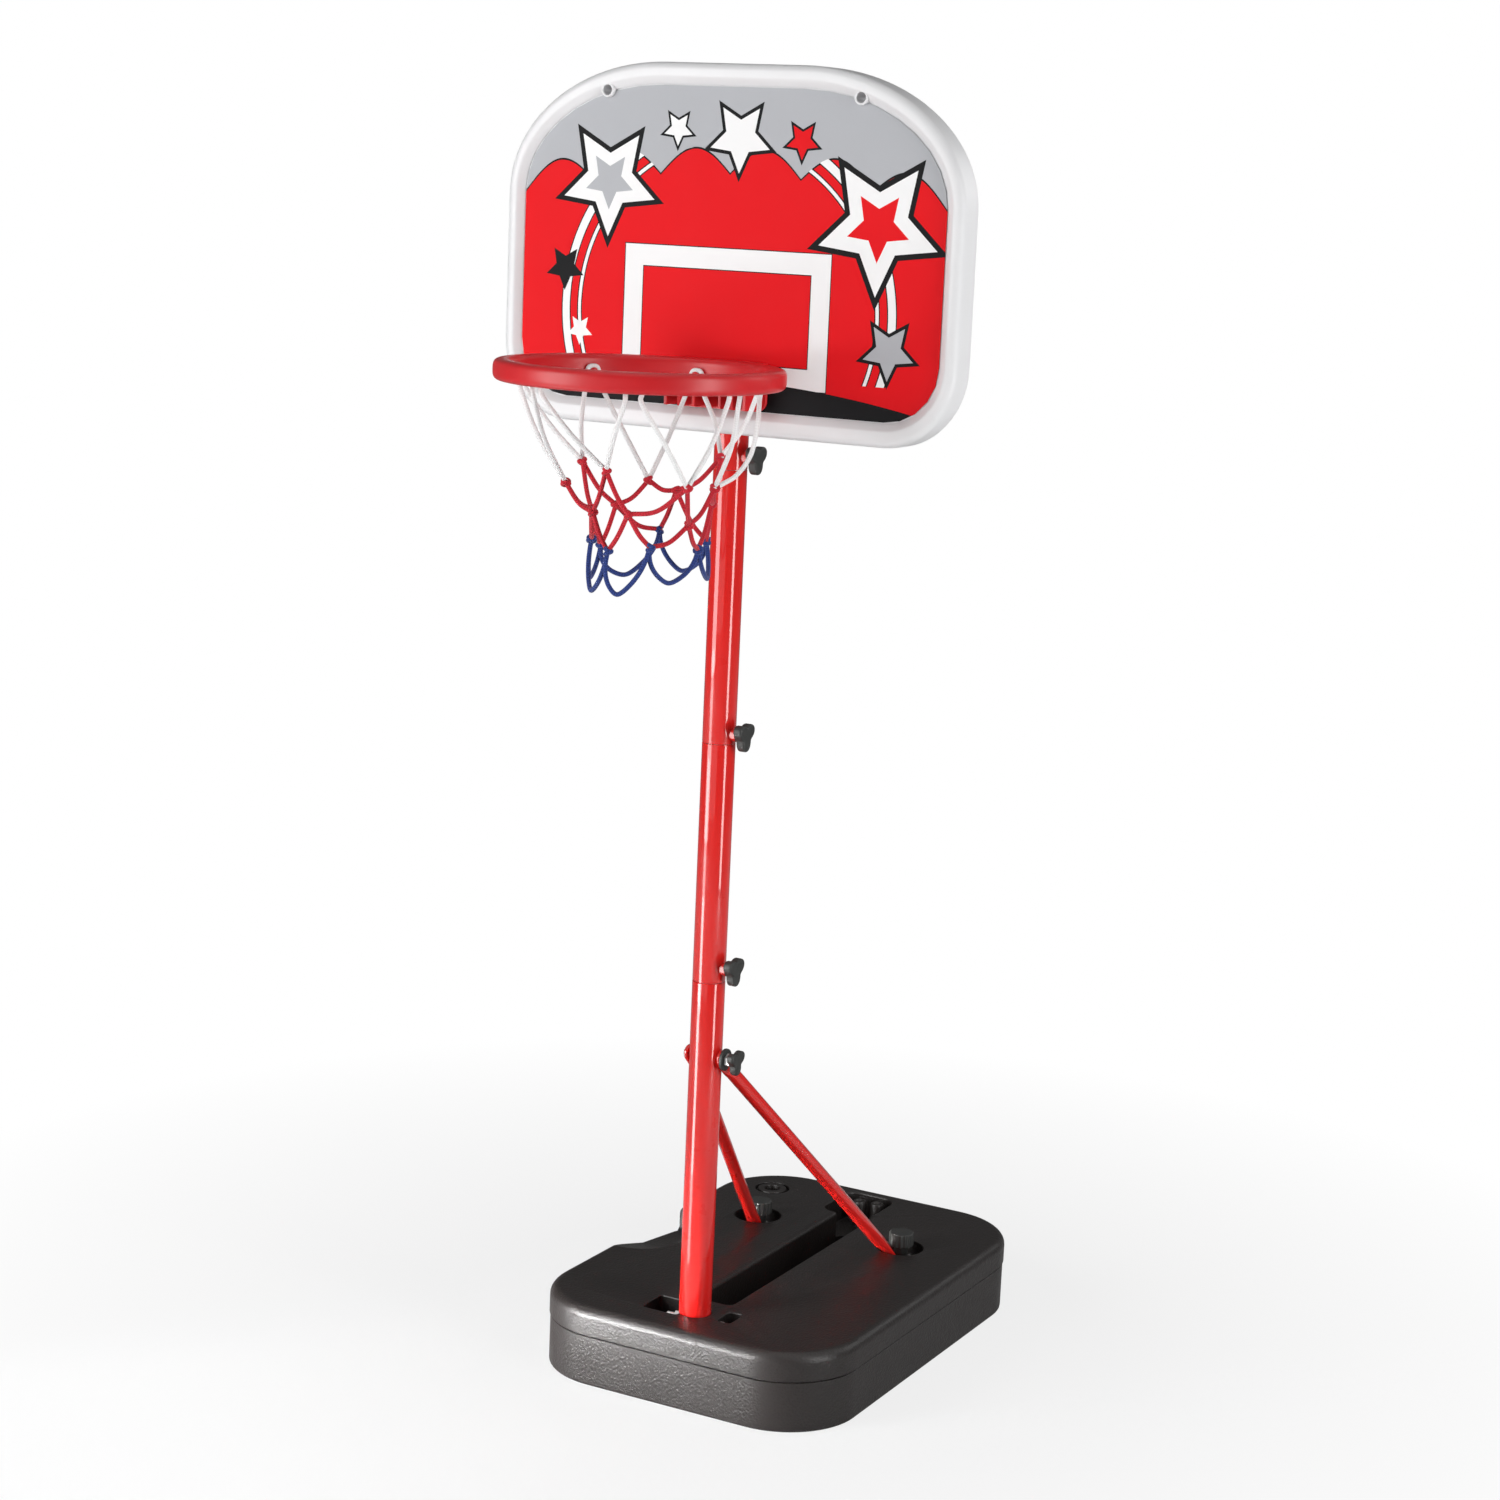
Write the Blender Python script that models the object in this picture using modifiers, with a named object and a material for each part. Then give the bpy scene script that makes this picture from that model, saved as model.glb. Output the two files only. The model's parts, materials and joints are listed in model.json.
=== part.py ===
"""An adjustable basketball stand for play at home: a fillable base, a pole in sections with clamp knobs,
two braces, a printed backboard and a moulded ring with a knotted net.

Metres, +Z up. The pole's axis is the Z axis, the floor is z = 0 and the ring points along -Y.
"""

import math

import bmesh
import bpy
from mathutils import Matrix, Vector

# Fits
GAP = 0.0003
HOLE_CLEARANCE = 0.0003
THREAD_CLEARANCE = 0.0003

# Base tank
BASE_HALF_WIDTH = 0.148
BASE_FRONT = 0.049
BASE_REAR = 0.3765
BASE_HEIGHT = 0.070
BASE_CORNER = 0.070
BASE_TOP_ROUND = 0.009
BASE_FOOT_ROUND = 0.003
BASE_WALL = 0.003
PARTING_HEIGHT = 0.045
PARTING_STEP = 0.0008

# Hollows moulded into the top of the base
CHANNEL_HALF_WIDTH = 0.0170
CHANNEL_FRONT = 0.033
CHANNEL_REAR = 0.308
CHANNEL_DEPTH = 0.050
CHANNEL_CORNER = 0.006
POCKET_LEFT = 0.035
POCKET_RIGHT = 0.0155
POCKET_FRONT = 0.300
POCKET_REAR = 0.362
POCKET_DEPTH = 0.026
POCKET_CORNER = 0.014
POCKET_STUD_RADIUS = 0.0065
POCKET_STUD_SINK = 0.0015
POCKET_STUDS = ((-0.0155, 0.3455), (0.0020, 0.3475))
WELL_RADIUS = 0.0220
WELL_X = 0.0745
WELL_Y = 0.2485
WELL_DEPTH = 0.0155
HANDHOLD_REACH = 0.051
HANDHOLD_FRONT = 0.100
HANDHOLD_REAR = 0.229
HANDHOLD_CORNER = 0.042
HANDHOLD_LIP = 0.0015
HANDHOLD_BEND_RUN = 0.061
HANDHOLD_BEND_DEPTH = 0.0175
HANDHOLD_DEPTH = 0.025

# Where the pole stands in the base
SOCKET_FLOOR = 0.012
LEFT_RECESS_END = 0.044
LEFT_RECESS_FRONT = 0.015
RECESS_REAR = 0.0175
RIGHT_RECESS_START = 0.025
RIGHT_RECESS_END = 0.038
RIGHT_RECESS_FRONT = 0.0068
RECESS_DEPTH = 0.018
RECESS_CORNER = 0.003
POLE_BOLT_DROP = 0.0085

# Fill opening and cap
FILL_FROM_SIDE = 0.048
FILL_FROM_REAR = 0.0525
FILL_RECESS_RADIUS = 0.0165
FILL_RECESS_DEPTH = 0.0045
FILL_HOLE_RADIUS = 0.0100
FILL_NECK_LENGTH = 0.016
CAP_RADIUS = 0.0140
CAP_FLANGE = 0.0030
CAP_GRIP_RADIUS = 0.0075
CAP_GRIP_DEPTH = 0.0080
CAP_PLUG_LENGTH = 0.0100
CAP_BASE_THICKNESS = 0.002
SEAL_THICKNESS = 0.0010
SEAL_RADIUS = 0.0135
SEAL_HOLE_RADIUS = 0.0104

# Pole
POLE_RADIUS = 0.014
POLE_WALL = 0.0012
NECK_WALL = 0.0015
JOINT_HEIGHTS = (0.3653, 0.5698, 0.7970)
NECK_DEPTHS = (0.040, 0.045, 0.045)
NECK_REACHES = (0.135, 0.160, 0.075)
STEM_CAP_PLUG = 0.012
STEM_CAP_DISC = 0.0025

# Clamp knobs, each on a stud through a boss on the pole
KNOB_HEIGHTS = (0.3775, 0.5780, 0.8075)
STUD_RADIUS = 0.003
BOSS_RADIUS = 0.006
BOSS_LENGTH = 0.0035
KNOB_RADIUS = 0.0135
KNOB_LOBE_DEPTH = 0.0058
KNOB_THICKNESS = 0.0080
KNOB_EDGE_ROUND = 0.0016
KNOB_HUB_RADIUS = 0.006
KNOB_HUB_LENGTH = 0.0017
KNOB_BORE_DEPTH = 0.0065

# Braces and their top bolt
BRACE_RADIUS = 0.006
BRACE_WALL = 0.0010
BRACE_VENT_RADIUS = 0.0012
BRACE_BOLT_HEIGHT = 0.299
TAB_THICKNESS = 0.003
TAB_HALF_HEIGHT = 0.007
TAB_STRAIGHT = 0.0105
BRACE_BOLT_HEAD_RADIUS = 0.0055
BRACE_BOLT_HEAD = 0.0026
BRACE_WASHER_RADIUS = 0.0095
BRACE_WASHER = 0.0028
NUT_ACROSS_CORNERS = 0.0115
NUT_HEIGHT = 0.0048
BRACE_KNOB_RADIUS = 0.0120
BRACE_KNOB_THICKNESS = 0.0067
BRACE_KNOB_BORE = 0.0045

# Feet of the braces, in the wells
FOOT_BOLT_Y = 0.2515
FOOT_THICKNESS = 0.0025
FOOT_HALF_WIDTH = 0.0075
FOOT_LAP = 0.0067
FOOT_RISE_RUN = 0.0095
INSERT_RADIUS = 0.0055
INSERT_LENGTH = 0.020
FOOT_WASHER_RADIUS = 0.0060
FOOT_WASHER = 0.0012
FOOT_KNOB_RADIUS = 0.0115
FOOT_KNOB_FLUTES = 16
FOOT_KNOB_FLUTE_DEPTH = 0.0009
FOOT_KNOB_GRIP = 0.0125
FOOT_KNOB_ROUND = 0.0012
FOOT_KNOB_HUB_RADIUS = 0.0062
FOOT_KNOB_HUB = 0.0120
FOOT_KNOB_ROOF = 0.0035

# Pole bolt
POLE_BOLT_TAIL = 0.027
POLE_BOLT_HEAD = 0.0037
POLE_BOLT_HEAD_CORNERS = 0.0105

# Backboard: the printed face, and how far the rim stands out from it on each side
PRINT_HALF_WIDTH = 0.193
PRINT_BOTTOM = 0.8465
PRINT_TOP = 1.102
TOP_CORNER_WIDTH = 0.130
TOP_CORNER_HEIGHT = 0.090
BOTTOM_CORNER = 0.046
RIM_SIDE = 0.0155
RIM_TOP = 0.0175
RIM_BOTTOM = 0.0195
RIM_LIP = 0.0055
RIM_HOLLOW_LIP = 0.002
RIM_ROUND = 0.006
BOARD_FRONT = -0.0250
BOARD_BACK = 0.0020
PRINT_FRONT = -0.0207
PRINT_THICKNESS = 0.0006
PANEL_THICKNESS = 0.0024
BOARD_WALL = 0.003
BOARD_RIB = 0.0024
BOARD_RIB_BACK = -0.006
BOARD_RIB_X = 0.098
BOARD_RIB_SHARES = (0.413, 0.836)
HANG_HOLE_X = 0.115
HANG_HOLE_DROP = 0.006
HANG_HOLE_RADIUS = 0.0042
HANG_BOSS_RADIUS = 0.0058
HANG_BOSS_SINK = 0.0006
HANG_BOSS_BACK = 0.014

# Saddle clamps that hold the board on its stem. Shares are of the printed face's height
STEM_SHARE = 0.757
SADDLE_SHARES = (0.241, 0.620)
SADDLE_WIDTH = 0.014
SADDLE_WALL = 0.0022
SADDLE_HALF_SPAN = 0.031
SADDLE_SCREW_X = 0.0245
SADDLE_SEAT = -0.0040
SEAT_BOSS_RADIUS = 0.005
CRADLE_HALF_WIDTH = 0.012
CRADLE_FRONT = -0.0085
SCREW_RADIUS = 0.0015
SCREW_HEAD_RADIUS = 0.0034
SCREW_HEAD = 0.0020
SADDLE_SCREW_LENGTH = 0.009

# Ring and its bracket
RING_CENTRE_Y = -0.1492
RING_RISE = 0.0333
RING_OUTER_RADIUS = 0.1132
RING_SECTION_WIDTH = 0.016
RING_SECTION_HEIGHT = 0.0165
RING_SQUARENESS = 0.62
BRACKET_HALF_WIDTH = 0.043
BRACKET_RISE = 0.0067
BRACKET_HEIGHT = 0.0395
BRACKET_PLATE = 0.003
BRACKET_CORNER = 0.009
BRACKET_RIBS = 7
BRACKET_RIB = 0.0022
BRACKET_RIB_INSET = 0.002
RING_SCREW_X = 0.018
RING_SCREW_DROP = 0.0205
RING_SCREW_BOSS = 0.0038
RING_SCREW_LENGTH = 0.012

# Hooks on the inside of the ring, one at each of the net's columns
COLUMNS = 7
FIRST_HOOK_DEG = 298.3
HOOK_DROP = 0.0048
HOOK_RADIUS = 0.0015
HOOK_HEAD_RADIUS = 0.0028
HOOK_HEAD = 0.0012

# Net cord, and its knots as degrees round the ring, then radius and drop below the hooks in net units
NET_UNIT = 0.001
CORD_RADIUS = 0.00165
KNOT_RADIUS = 0.0031
WHITE_KNOTS = ((331, 77, 75), (15, 63, 79), (58, 74, 60), (110, 53, 82), (168, 58, 68), (221, 55, 80), (275, 53, 66))
RED_KNOTS = ((295, 52, 98), (346, 58, 106), (43, 61, 94), (88, 59, 89), (139, 49, 102), (192, 36, 102), (252, 43, 100))
BLUE_KNOTS = ((315, 50, 123), (13, 52, 127), (60, 65, 126), (103, 66, 122), (157, 44, 133), (214, 33, 124), (276, 47, 128))
LOOP_ENDS = ((288, 50, 160), (341, 43, 152), (40, 59, 153), (84, 64, 153), (130, 32, 155), (190, 36, 156), (248, 40, 161))
SLACK_STRAND = ((27, 92, 29), (28, 88, 53), (25, 78, 69), (20, 68, 76))
LOOP_HALF_WIDTH_DEG = 3.6
LOOP_SHOULDER = 0.0012
LOOP_SIDE_DROP = 0.004
LOOP_TAIL_DROP = 0.012
LOOP_LEAN = 0.0015
WHITE_BOW = 0.004
LOOP_PINCH = 0.35

TUBE_SIDES = 24
SMALL_SIDES = 14
ALONG_X = Matrix.Rotation(math.pi / 2, 4, "Y")
ALONG_Y = Matrix.Rotation(-math.pi / 2, 4, "X")
FACING_FRONT = Matrix.Rotation(math.pi / 2, 4, "X")
FACING_SIDE = Matrix.Rotation(math.pi / 2, 4, "Z") @ FACING_FRONT
UPRIGHT = Matrix.Identity(4)

# Sizes that follow from those above
WELL_FLOOR = BASE_HEIGHT - WELL_DEPTH
POLE_BOLT_HEIGHT = BASE_HEIGHT - POLE_BOLT_DROP
HANDHOLD_INNER = BASE_HALF_WIDTH - HANDHOLD_REACH
FILL_X = FILL_FROM_SIDE - BASE_HALF_WIDTH
FILL_Y = BASE_REAR - FILL_FROM_REAR
FILL_RECESS_FLOOR = BASE_HEIGHT - FILL_RECESS_DEPTH
SOCKET_RADIUS = POLE_RADIUS + GAP
NECK_RADIUS = POLE_RADIUS - POLE_WALL - GAP
BOLT_HOLE_RADIUS = STUD_RADIUS + HOLE_CLEARANCE
TAB_MIDDLE_X = POLE_RADIUS + GAP + TAB_THICKNESS / 2
TAB_OUTER_X = POLE_RADIUS + GAP + TAB_THICKNESS
BRACE_NUT_X = TAB_OUTER_X + GAP + BRACE_WASHER + GAP
BRACE_KNOB_X = BRACE_NUT_X + NUT_HEIGHT + GAP
BRACE_BOLT_END = BRACE_KNOB_X + BRACE_KNOB_BORE - GAP
FOOT_MIDDLE = WELL_FLOOR + GAP + FOOT_THICKNESS / 2
FOOT_WASHER_Z = WELL_FLOOR + GAP + FOOT_THICKNESS + GAP
FOOT_KNOB_Z = FOOT_WASHER_Z + FOOT_WASHER + GAP
FOOT_KNOB_TOP = FOOT_KNOB_Z + FOOT_KNOB_HUB + FOOT_KNOB_GRIP
BOSS_OUTER_X = POLE_RADIUS + BOSS_LENGTH
KNOB_X = BOSS_OUTER_X + GAP
STUD_END = KNOB_X + KNOB_BORE_DEPTH - GAP
PANEL_FRONT = PRINT_FRONT + PRINT_THICKNESS + GAP
PANEL_BACK = PANEL_FRONT + PANEL_THICKNESS
PRINT_HEIGHT = PRINT_TOP - PRINT_BOTTOM
BOARD_RIB_HEIGHTS = [PRINT_BOTTOM + share * PRINT_HEIGHT for share in BOARD_RIB_SHARES]
SADDLE_HEIGHTS = [PRINT_BOTTOM + share * PRINT_HEIGHT for share in SADDLE_SHARES]
STEM_TOP = PRINT_BOTTOM + STEM_SHARE * PRINT_HEIGHT
HANG_HOLE_Z = PRINT_TOP - HANG_HOLE_DROP
STEM_RADIUS_CLEAR = POLE_RADIUS + GAP
RING_MIDDLE_RADIUS = RING_OUTER_RADIUS - RING_SECTION_WIDTH / 2
RING_INNER_RADIUS = RING_OUTER_RADIUS - RING_SECTION_WIDTH
BRACKET_BACK = PRINT_FRONT - GAP
RING_MID_HEIGHT = PRINT_BOTTOM + RING_RISE
BRACKET_TOP = RING_MID_HEIGHT + BRACKET_RISE
BRACKET_BOTTOM = BRACKET_TOP - BRACKET_HEIGHT
RING_SCREW_HEIGHT = BRACKET_TOP - RING_SCREW_DROP
HOOK_HEIGHT = RING_MID_HEIGHT - HOOK_DROP
CORD_ON_HOOK_RADIUS = RING_INNER_RADIUS - GAP - CORD_RADIUS
HOOK_TIP_RADIUS = CORD_ON_HOOK_RADIUS - CORD_RADIUS - GAP


# Scene, collections and materials

def start_clean():
    for obj in list(bpy.data.objects):
        bpy.data.objects.remove(obj, do_unlink=True)


def new_collection(name):
    group = bpy.data.collections.new(name)
    bpy.context.scene.collection.children.link(group)
    return group


def material(name, colour, roughness, metallic=0.0):
    made = bpy.data.materials.new(name)
    made.use_nodes = True
    shader = made.node_tree.nodes["Principled BSDF"]
    shader.inputs["Base Color"].default_value = (*colour, 1.0)
    shader.inputs["Roughness"].default_value = roughness
    shader.inputs["Metallic"].default_value = metallic
    made.diffuse_color = (*colour, 1.0)
    return made


start_clean()
PARTS = new_collection("basketball_stand")
CUTTERS = new_collection("cutters")

RED_PAINT = (0.73, 0.025, 0.018)
DARK_PLASTIC = (0.021, 0.016, 0.015)
KNOB_PLASTIC = (0.028, 0.029, 0.027)
WHITE_PLASTIC = (0.86, 0.86, 0.87)
PRINT_RED = (0.85, 0.018, 0.026)
RING_RED = (0.58, 0.013, 0.018)
ZINC = (0.62, 0.62, 0.60)
NET_WHITE = (0.85, 0.85, 0.85)


# Meshes

def to_mesh(bm):
    mesh = bpy.data.meshes.new("shape")
    bm.to_mesh(mesh)
    bm.free()
    return mesh


def cylinder(radius, low, high, sides=SMALL_SIDES):
    """A cylinder along local Z."""
    bm = bmesh.new()
    middle = Matrix.Translation((0, 0, (low + high) / 2))
    bmesh.ops.create_cone(
        bm, cap_ends=True, segments=sides, radius1=radius, radius2=radius, depth=high - low, matrix=middle
    )
    return to_mesh(bm)


def block(low, high):
    """A box between two corners."""
    bm = bmesh.new()
    size = [b - a for a, b in zip(low, high)]
    middle = [(a + b) / 2 for a, b in zip(low, high)]
    bmesh.ops.create_cube(bm, size=1.0, matrix=Matrix.Translation(middle) @ Matrix.Diagonal((*size, 1.0)))
    return to_mesh(bm)


def knot(centre):
    bm = bmesh.new()
    bmesh.ops.create_icosphere(bm, subdivisions=1, radius=KNOT_RADIUS, matrix=Matrix.Translation(centre))
    return to_mesh(bm)


def loft(rings):
    """A closed skin through rings of the same number of points."""
    bm = bmesh.new()
    loops = [[bm.verts.new(point) for point in ring] for ring in rings]
    for lower, upper in zip(loops, loops[1:]):
        for i in range(len(lower)):
            bm.faces.new((lower[i - 1], lower[i], upper[i], upper[i - 1]))
    bm.faces.new(loops[0])
    bm.faces.new(loops[-1])
    bmesh.ops.recalc_face_normals(bm, faces=bm.faces)
    return to_mesh(bm)


def evaluated_mesh(helper):
    """The mesh that a helper object evaluates to. The helper is removed."""
    CUTTERS.objects.link(helper)
    graph = bpy.context.evaluated_depsgraph_get()
    mesh = bpy.data.meshes.new_from_object(helper.evaluated_get(graph))
    bpy.data.objects.remove(helper)
    return mesh


def turned(profile, sides=SMALL_SIDES, closed=False):
    """A profile of (radius, height) points turned about local Z. It runs down its outer side."""
    count = len(profile)
    edges = [(i, i + 1) for i in range(count - 1)]
    if closed:
        edges.append((count - 1, 0))
    mesh = bpy.data.meshes.new("profile")
    mesh.from_pydata([(radius, 0, height) for radius, height in profile], edges, [])
    helper = bpy.data.objects.new("profile", mesh)
    screw = helper.modifiers.new("turn", "SCREW")
    screw.steps = sides
    screw.render_steps = sides
    screw.use_merge_vertices = True
    screw.merge_threshold = 0.00005
    return evaluated_mesh(helper)


def tube_profile(inner, outer, low, high):
    return [(outer, high), (outer, low), (inner, low), (inner, high)]


def ring_solid(inner, outer, low, high, sides=SMALL_SIDES):
    return turned(tube_profile(inner, outer, low, high), sides, closed=True)


def welded(mesh, place):
    """A curve's mesh with its loose caps welded on, moved to its place."""
    bm = bmesh.new()
    bm.from_mesh(mesh)
    bmesh.ops.remove_doubles(bm, verts=bm.verts, dist=0.00001)
    bmesh.ops.transform(bm, matrix=place, verts=bm.verts)
    return to_mesh(bm)


def prism(outline, low, high):
    """A flat outline of (x, y) points, from low to high along local Z."""
    curve = bpy.data.curves.new("outline", "CURVE")
    curve.dimensions = "2D"
    curve.fill_mode = "BOTH"
    curve.extrude = (high - low) / 2
    spline = curve.splines.new("POLY")
    spline.points.add(len(outline) - 1)
    for point, (x, y) in zip(spline.points, outline):
        point.co = (x, y, 0, 1)
    spline.use_cyclic_u = True
    flat = evaluated_mesh(bpy.data.objects.new("outline", curve))
    return welded(flat, Matrix.Translation((0, 0, (low + high) / 2)))


def cord(points, radius):
    """A round cord along points, with closed ends."""
    curve = bpy.data.curves.new("cord", "CURVE")
    curve.dimensions = "3D"
    curve.bevel_depth = radius
    curve.bevel_resolution = 1
    curve.use_fill_caps = True
    spline = curve.splines.new("POLY")
    spline.points.add(len(points) - 1)
    for point, place in zip(spline.points, points):
        point.co = (*place, 1)
    return welded(evaluated_mesh(bpy.data.objects.new("cord", curve)), UPRIGHT)


# Outlines

def arc(centre_x, centre_y, reach_x, reach_y, start_deg, end_deg, steps):
    """Points of an elliptical arc."""
    points = []
    for i in range(steps + 1):
        angle = math.radians(start_deg + (end_deg - start_deg) * i / steps)
        points.append((centre_x + reach_x * math.cos(angle), centre_y + reach_y * math.sin(angle)))
    return points


def oval(centre_x, centre_y, reach_x, reach_y, sides=TUBE_SIDES):
    return arc(centre_x, centre_y, reach_x, reach_y, 0, 360, sides)[:-1]


def disc(centre_x, centre_y, radius, sides):
    return oval(centre_x, centre_y, radius, radius, sides)


def rounded_box(left, right, front, rear, corner, steps=3):
    points = arc(right - corner, rear - corner, corner, corner, 0, 90, steps)
    points += arc(left + corner, rear - corner, corner, corner, 90, 180, steps)
    points += arc(left + corner, front + corner, corner, corner, 180, 270, steps)
    points += arc(right - corner, front + corner, corner, corner, 270, 360, steps)
    return points


def lobed(radius, lobe_depth, sides=21):
    """A three-lobed knob outline."""
    points = []
    for i in range(sides):
        angle = 2 * math.pi * i / sides
        reach = radius - lobe_depth * (0.5 - 0.5 * math.cos(3 * angle))
        points.append((reach * math.cos(angle), reach * math.sin(angle)))
    return points


def fluted(radius, depth, flutes):
    points = []
    for i in range(2 * flutes):
        angle = math.pi * i / flutes
        reach = radius - depth * (i % 2)
        points.append((reach * math.cos(angle), reach * math.sin(angle)))
    return points


def base_outline(inset, steps=6):
    return rounded_box(
        inset - BASE_HALF_WIDTH,
        BASE_HALF_WIDTH - inset,
        inset - BASE_FRONT,
        BASE_REAR - inset,
        BASE_CORNER - inset,
        steps,
    )


def board_outline(side, top, bottom):
    """The printed face's outline, grown by side, top and bottom."""
    top_x = PRINT_HALF_WIDTH - TOP_CORNER_WIDTH
    top_z = PRINT_TOP - TOP_CORNER_HEIGHT
    low_x = PRINT_HALF_WIDTH - BOTTOM_CORNER
    low_z = PRINT_BOTTOM + BOTTOM_CORNER
    reach_x = TOP_CORNER_WIDTH + side
    reach_z = TOP_CORNER_HEIGHT + top
    points = arc(top_x, top_z, reach_x, reach_z, 0, 90, 9)
    points += arc(-top_x, top_z, reach_x, reach_z, 90, 180, 9)
    points += arc(-low_x, low_z, BOTTOM_CORNER + side, BOTTOM_CORNER + bottom, 180, 270, 5)
    points += arc(low_x, low_z, BOTTOM_CORNER + side, BOTTOM_CORNER + bottom, 270, 360, 5)
    return points


# Objects

def part(name, mesh, finish, place=UPRIGHT):
    """A named piece in the part's collection."""
    obj = bpy.data.objects.new(name, mesh)
    PARTS.objects.link(obj)
    obj.matrix_world = place
    mesh.materials.clear()
    mesh.materials.append(finish)
    mesh.shade_smooth()
    mesh.set_sharp_from_angle(angle=math.radians(35))
    return obj


def cutter(mesh, place=UPRIGHT):
    obj = bpy.data.objects.new("cutter", mesh)
    CUTTERS.objects.link(obj)
    obj.matrix_world = place
    obj.hide_render = True
    obj.display_type = "WIRE"
    return obj


def combine(obj, other, operation):
    boolean = obj.modifiers.new(operation.lower(), "BOOLEAN")
    boolean.operation = operation
    boolean.object = other


def cut(obj, mesh, place=UPRIGHT):
    combine(obj, cutter(mesh, place), "DIFFERENCE")


def fuse(obj, mesh, place=UPRIGHT):
    combine(obj, cutter(mesh, place), "UNION")


def at(x, y, z, turn=UPRIGHT):
    return Matrix.Translation((x, y, z)) @ turn


# Base

def base_levels():
    """(height, inset) of the outside, from the floor to the top."""
    levels = []
    for i in range(3):
        angle = math.pi / 2 * i / 2
        levels.append(
            (BASE_FOOT_ROUND * (1 - math.cos(angle)), PARTING_STEP + BASE_FOOT_ROUND * (1 - math.sin(angle)))
        )
    levels.append((PARTING_HEIGHT, PARTING_STEP))
    levels.append((PARTING_HEIGHT, 0))
    for i in range(4):
        angle = math.pi / 2 * i / 3
        levels.append(
            (
                BASE_HEIGHT - BASE_TOP_ROUND * (1 - math.sin(angle)),
                BASE_TOP_ROUND * (1 - math.cos(angle)),
            )
        )
    return levels


def cavity_levels():
    roof = BASE_HEIGHT - BASE_WALL
    return (
        (BASE_WALL, BASE_WALL + BASE_FOOT_ROUND),
        (BASE_WALL + BASE_FOOT_ROUND, BASE_WALL + PARTING_STEP),
        (roof - BASE_TOP_ROUND / 2, BASE_WALL + PARTING_STEP),
        (roof, BASE_WALL + BASE_TOP_ROUND / 2),
    )


def slab(levels):
    return loft([[(x, y, height) for x, y in base_outline(inset)] for height, inset in levels])


def base_hollows(grow):
    """The hollows moulded into the top: (outline, floor), each grown by a wall where asked."""
    hollows = [
        (
            rounded_box(
                -CHANNEL_HALF_WIDTH - grow,
                CHANNEL_HALF_WIDTH + grow,
                CHANNEL_FRONT - grow,
                CHANNEL_REAR + grow,
                CHANNEL_CORNER + grow,
            ),
            BASE_HEIGHT - CHANNEL_DEPTH - grow,
        ),
        (
            rounded_box(
                -POCKET_LEFT - grow,
                POCKET_RIGHT + grow,
                POCKET_FRONT - grow,
                POCKET_REAR + grow,
                POCKET_CORNER + grow,
            ),
            BASE_HEIGHT - POCKET_DEPTH - grow,
        ),
        (disc(0, 0, SOCKET_RADIUS + grow, TUBE_SIDES), SOCKET_FLOOR - grow),
        (
            rounded_box(
                -LEFT_RECESS_END - grow,
                grow - POLE_RADIUS / 2,
                -LEFT_RECESS_FRONT - grow,
                RECESS_REAR + grow,
                RECESS_CORNER + grow,
            ),
            BASE_HEIGHT - RECESS_DEPTH - grow,
        ),
        (
            rounded_box(
                RIGHT_RECESS_START - grow,
                RIGHT_RECESS_END + grow,
                -RIGHT_RECESS_FRONT - grow,
                RECESS_REAR + grow,
                RECESS_CORNER + grow,
            ),
            BASE_HEIGHT - RECESS_DEPTH - grow,
        ),
        (
            disc(FILL_X, FILL_Y, FILL_RECESS_RADIUS + grow, 18),
            FILL_RECESS_FLOOR - grow,
        ),
    ]
    for side in (-1, 1):
        hollows.append((disc(side * WELL_X, WELL_Y, WELL_RADIUS + grow, 20), WELL_FLOOR - grow))
        insert = disc(side * WELL_X, FOOT_BOLT_Y, INSERT_RADIUS + HOLE_CLEARANCE + grow, 12)
        hollows.append((insert, WELL_FLOOR - INSERT_LENGTH - grow))
    return hollows


def handhold_scoop(grow, above):
    """The hand-hold's cutter: rounded as seen from above, with a floor that falls to the rear."""
    outline = rounded_box(
        -2 * BASE_HALF_WIDTH,
        -HANDHOLD_INNER + grow,
        HANDHOLD_FRONT - grow,
        HANDHOLD_REAR + grow,
        HANDHOLD_CORNER + grow,
        5,
    )
    floor = BASE_HEIGHT - HANDHOLD_DEPTH - grow
    front = HANDHOLD_FRONT - 2 * grow - HANDHOLD_LIP
    rear = HANDHOLD_REAR + 2 * grow + HANDHOLD_LIP
    left_below = [
        (front, floor - HANDHOLD_DEPTH),
        (rear, floor - HANDHOLD_DEPTH),
        (rear, floor),
        (HANDHOLD_FRONT + HANDHOLD_BEND_RUN, BASE_HEIGHT - HANDHOLD_BEND_DEPTH - grow),
        (front, BASE_HEIGHT - HANDHOLD_LIP - grow),
    ]
    scoop = cutter(prism(outline, floor - HANDHOLD_LIP, above))
    cut(scoop, prism(left_below, -3 * BASE_HALF_WIDTH, 0), FACING_SIDE)
    return scoop


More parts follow.
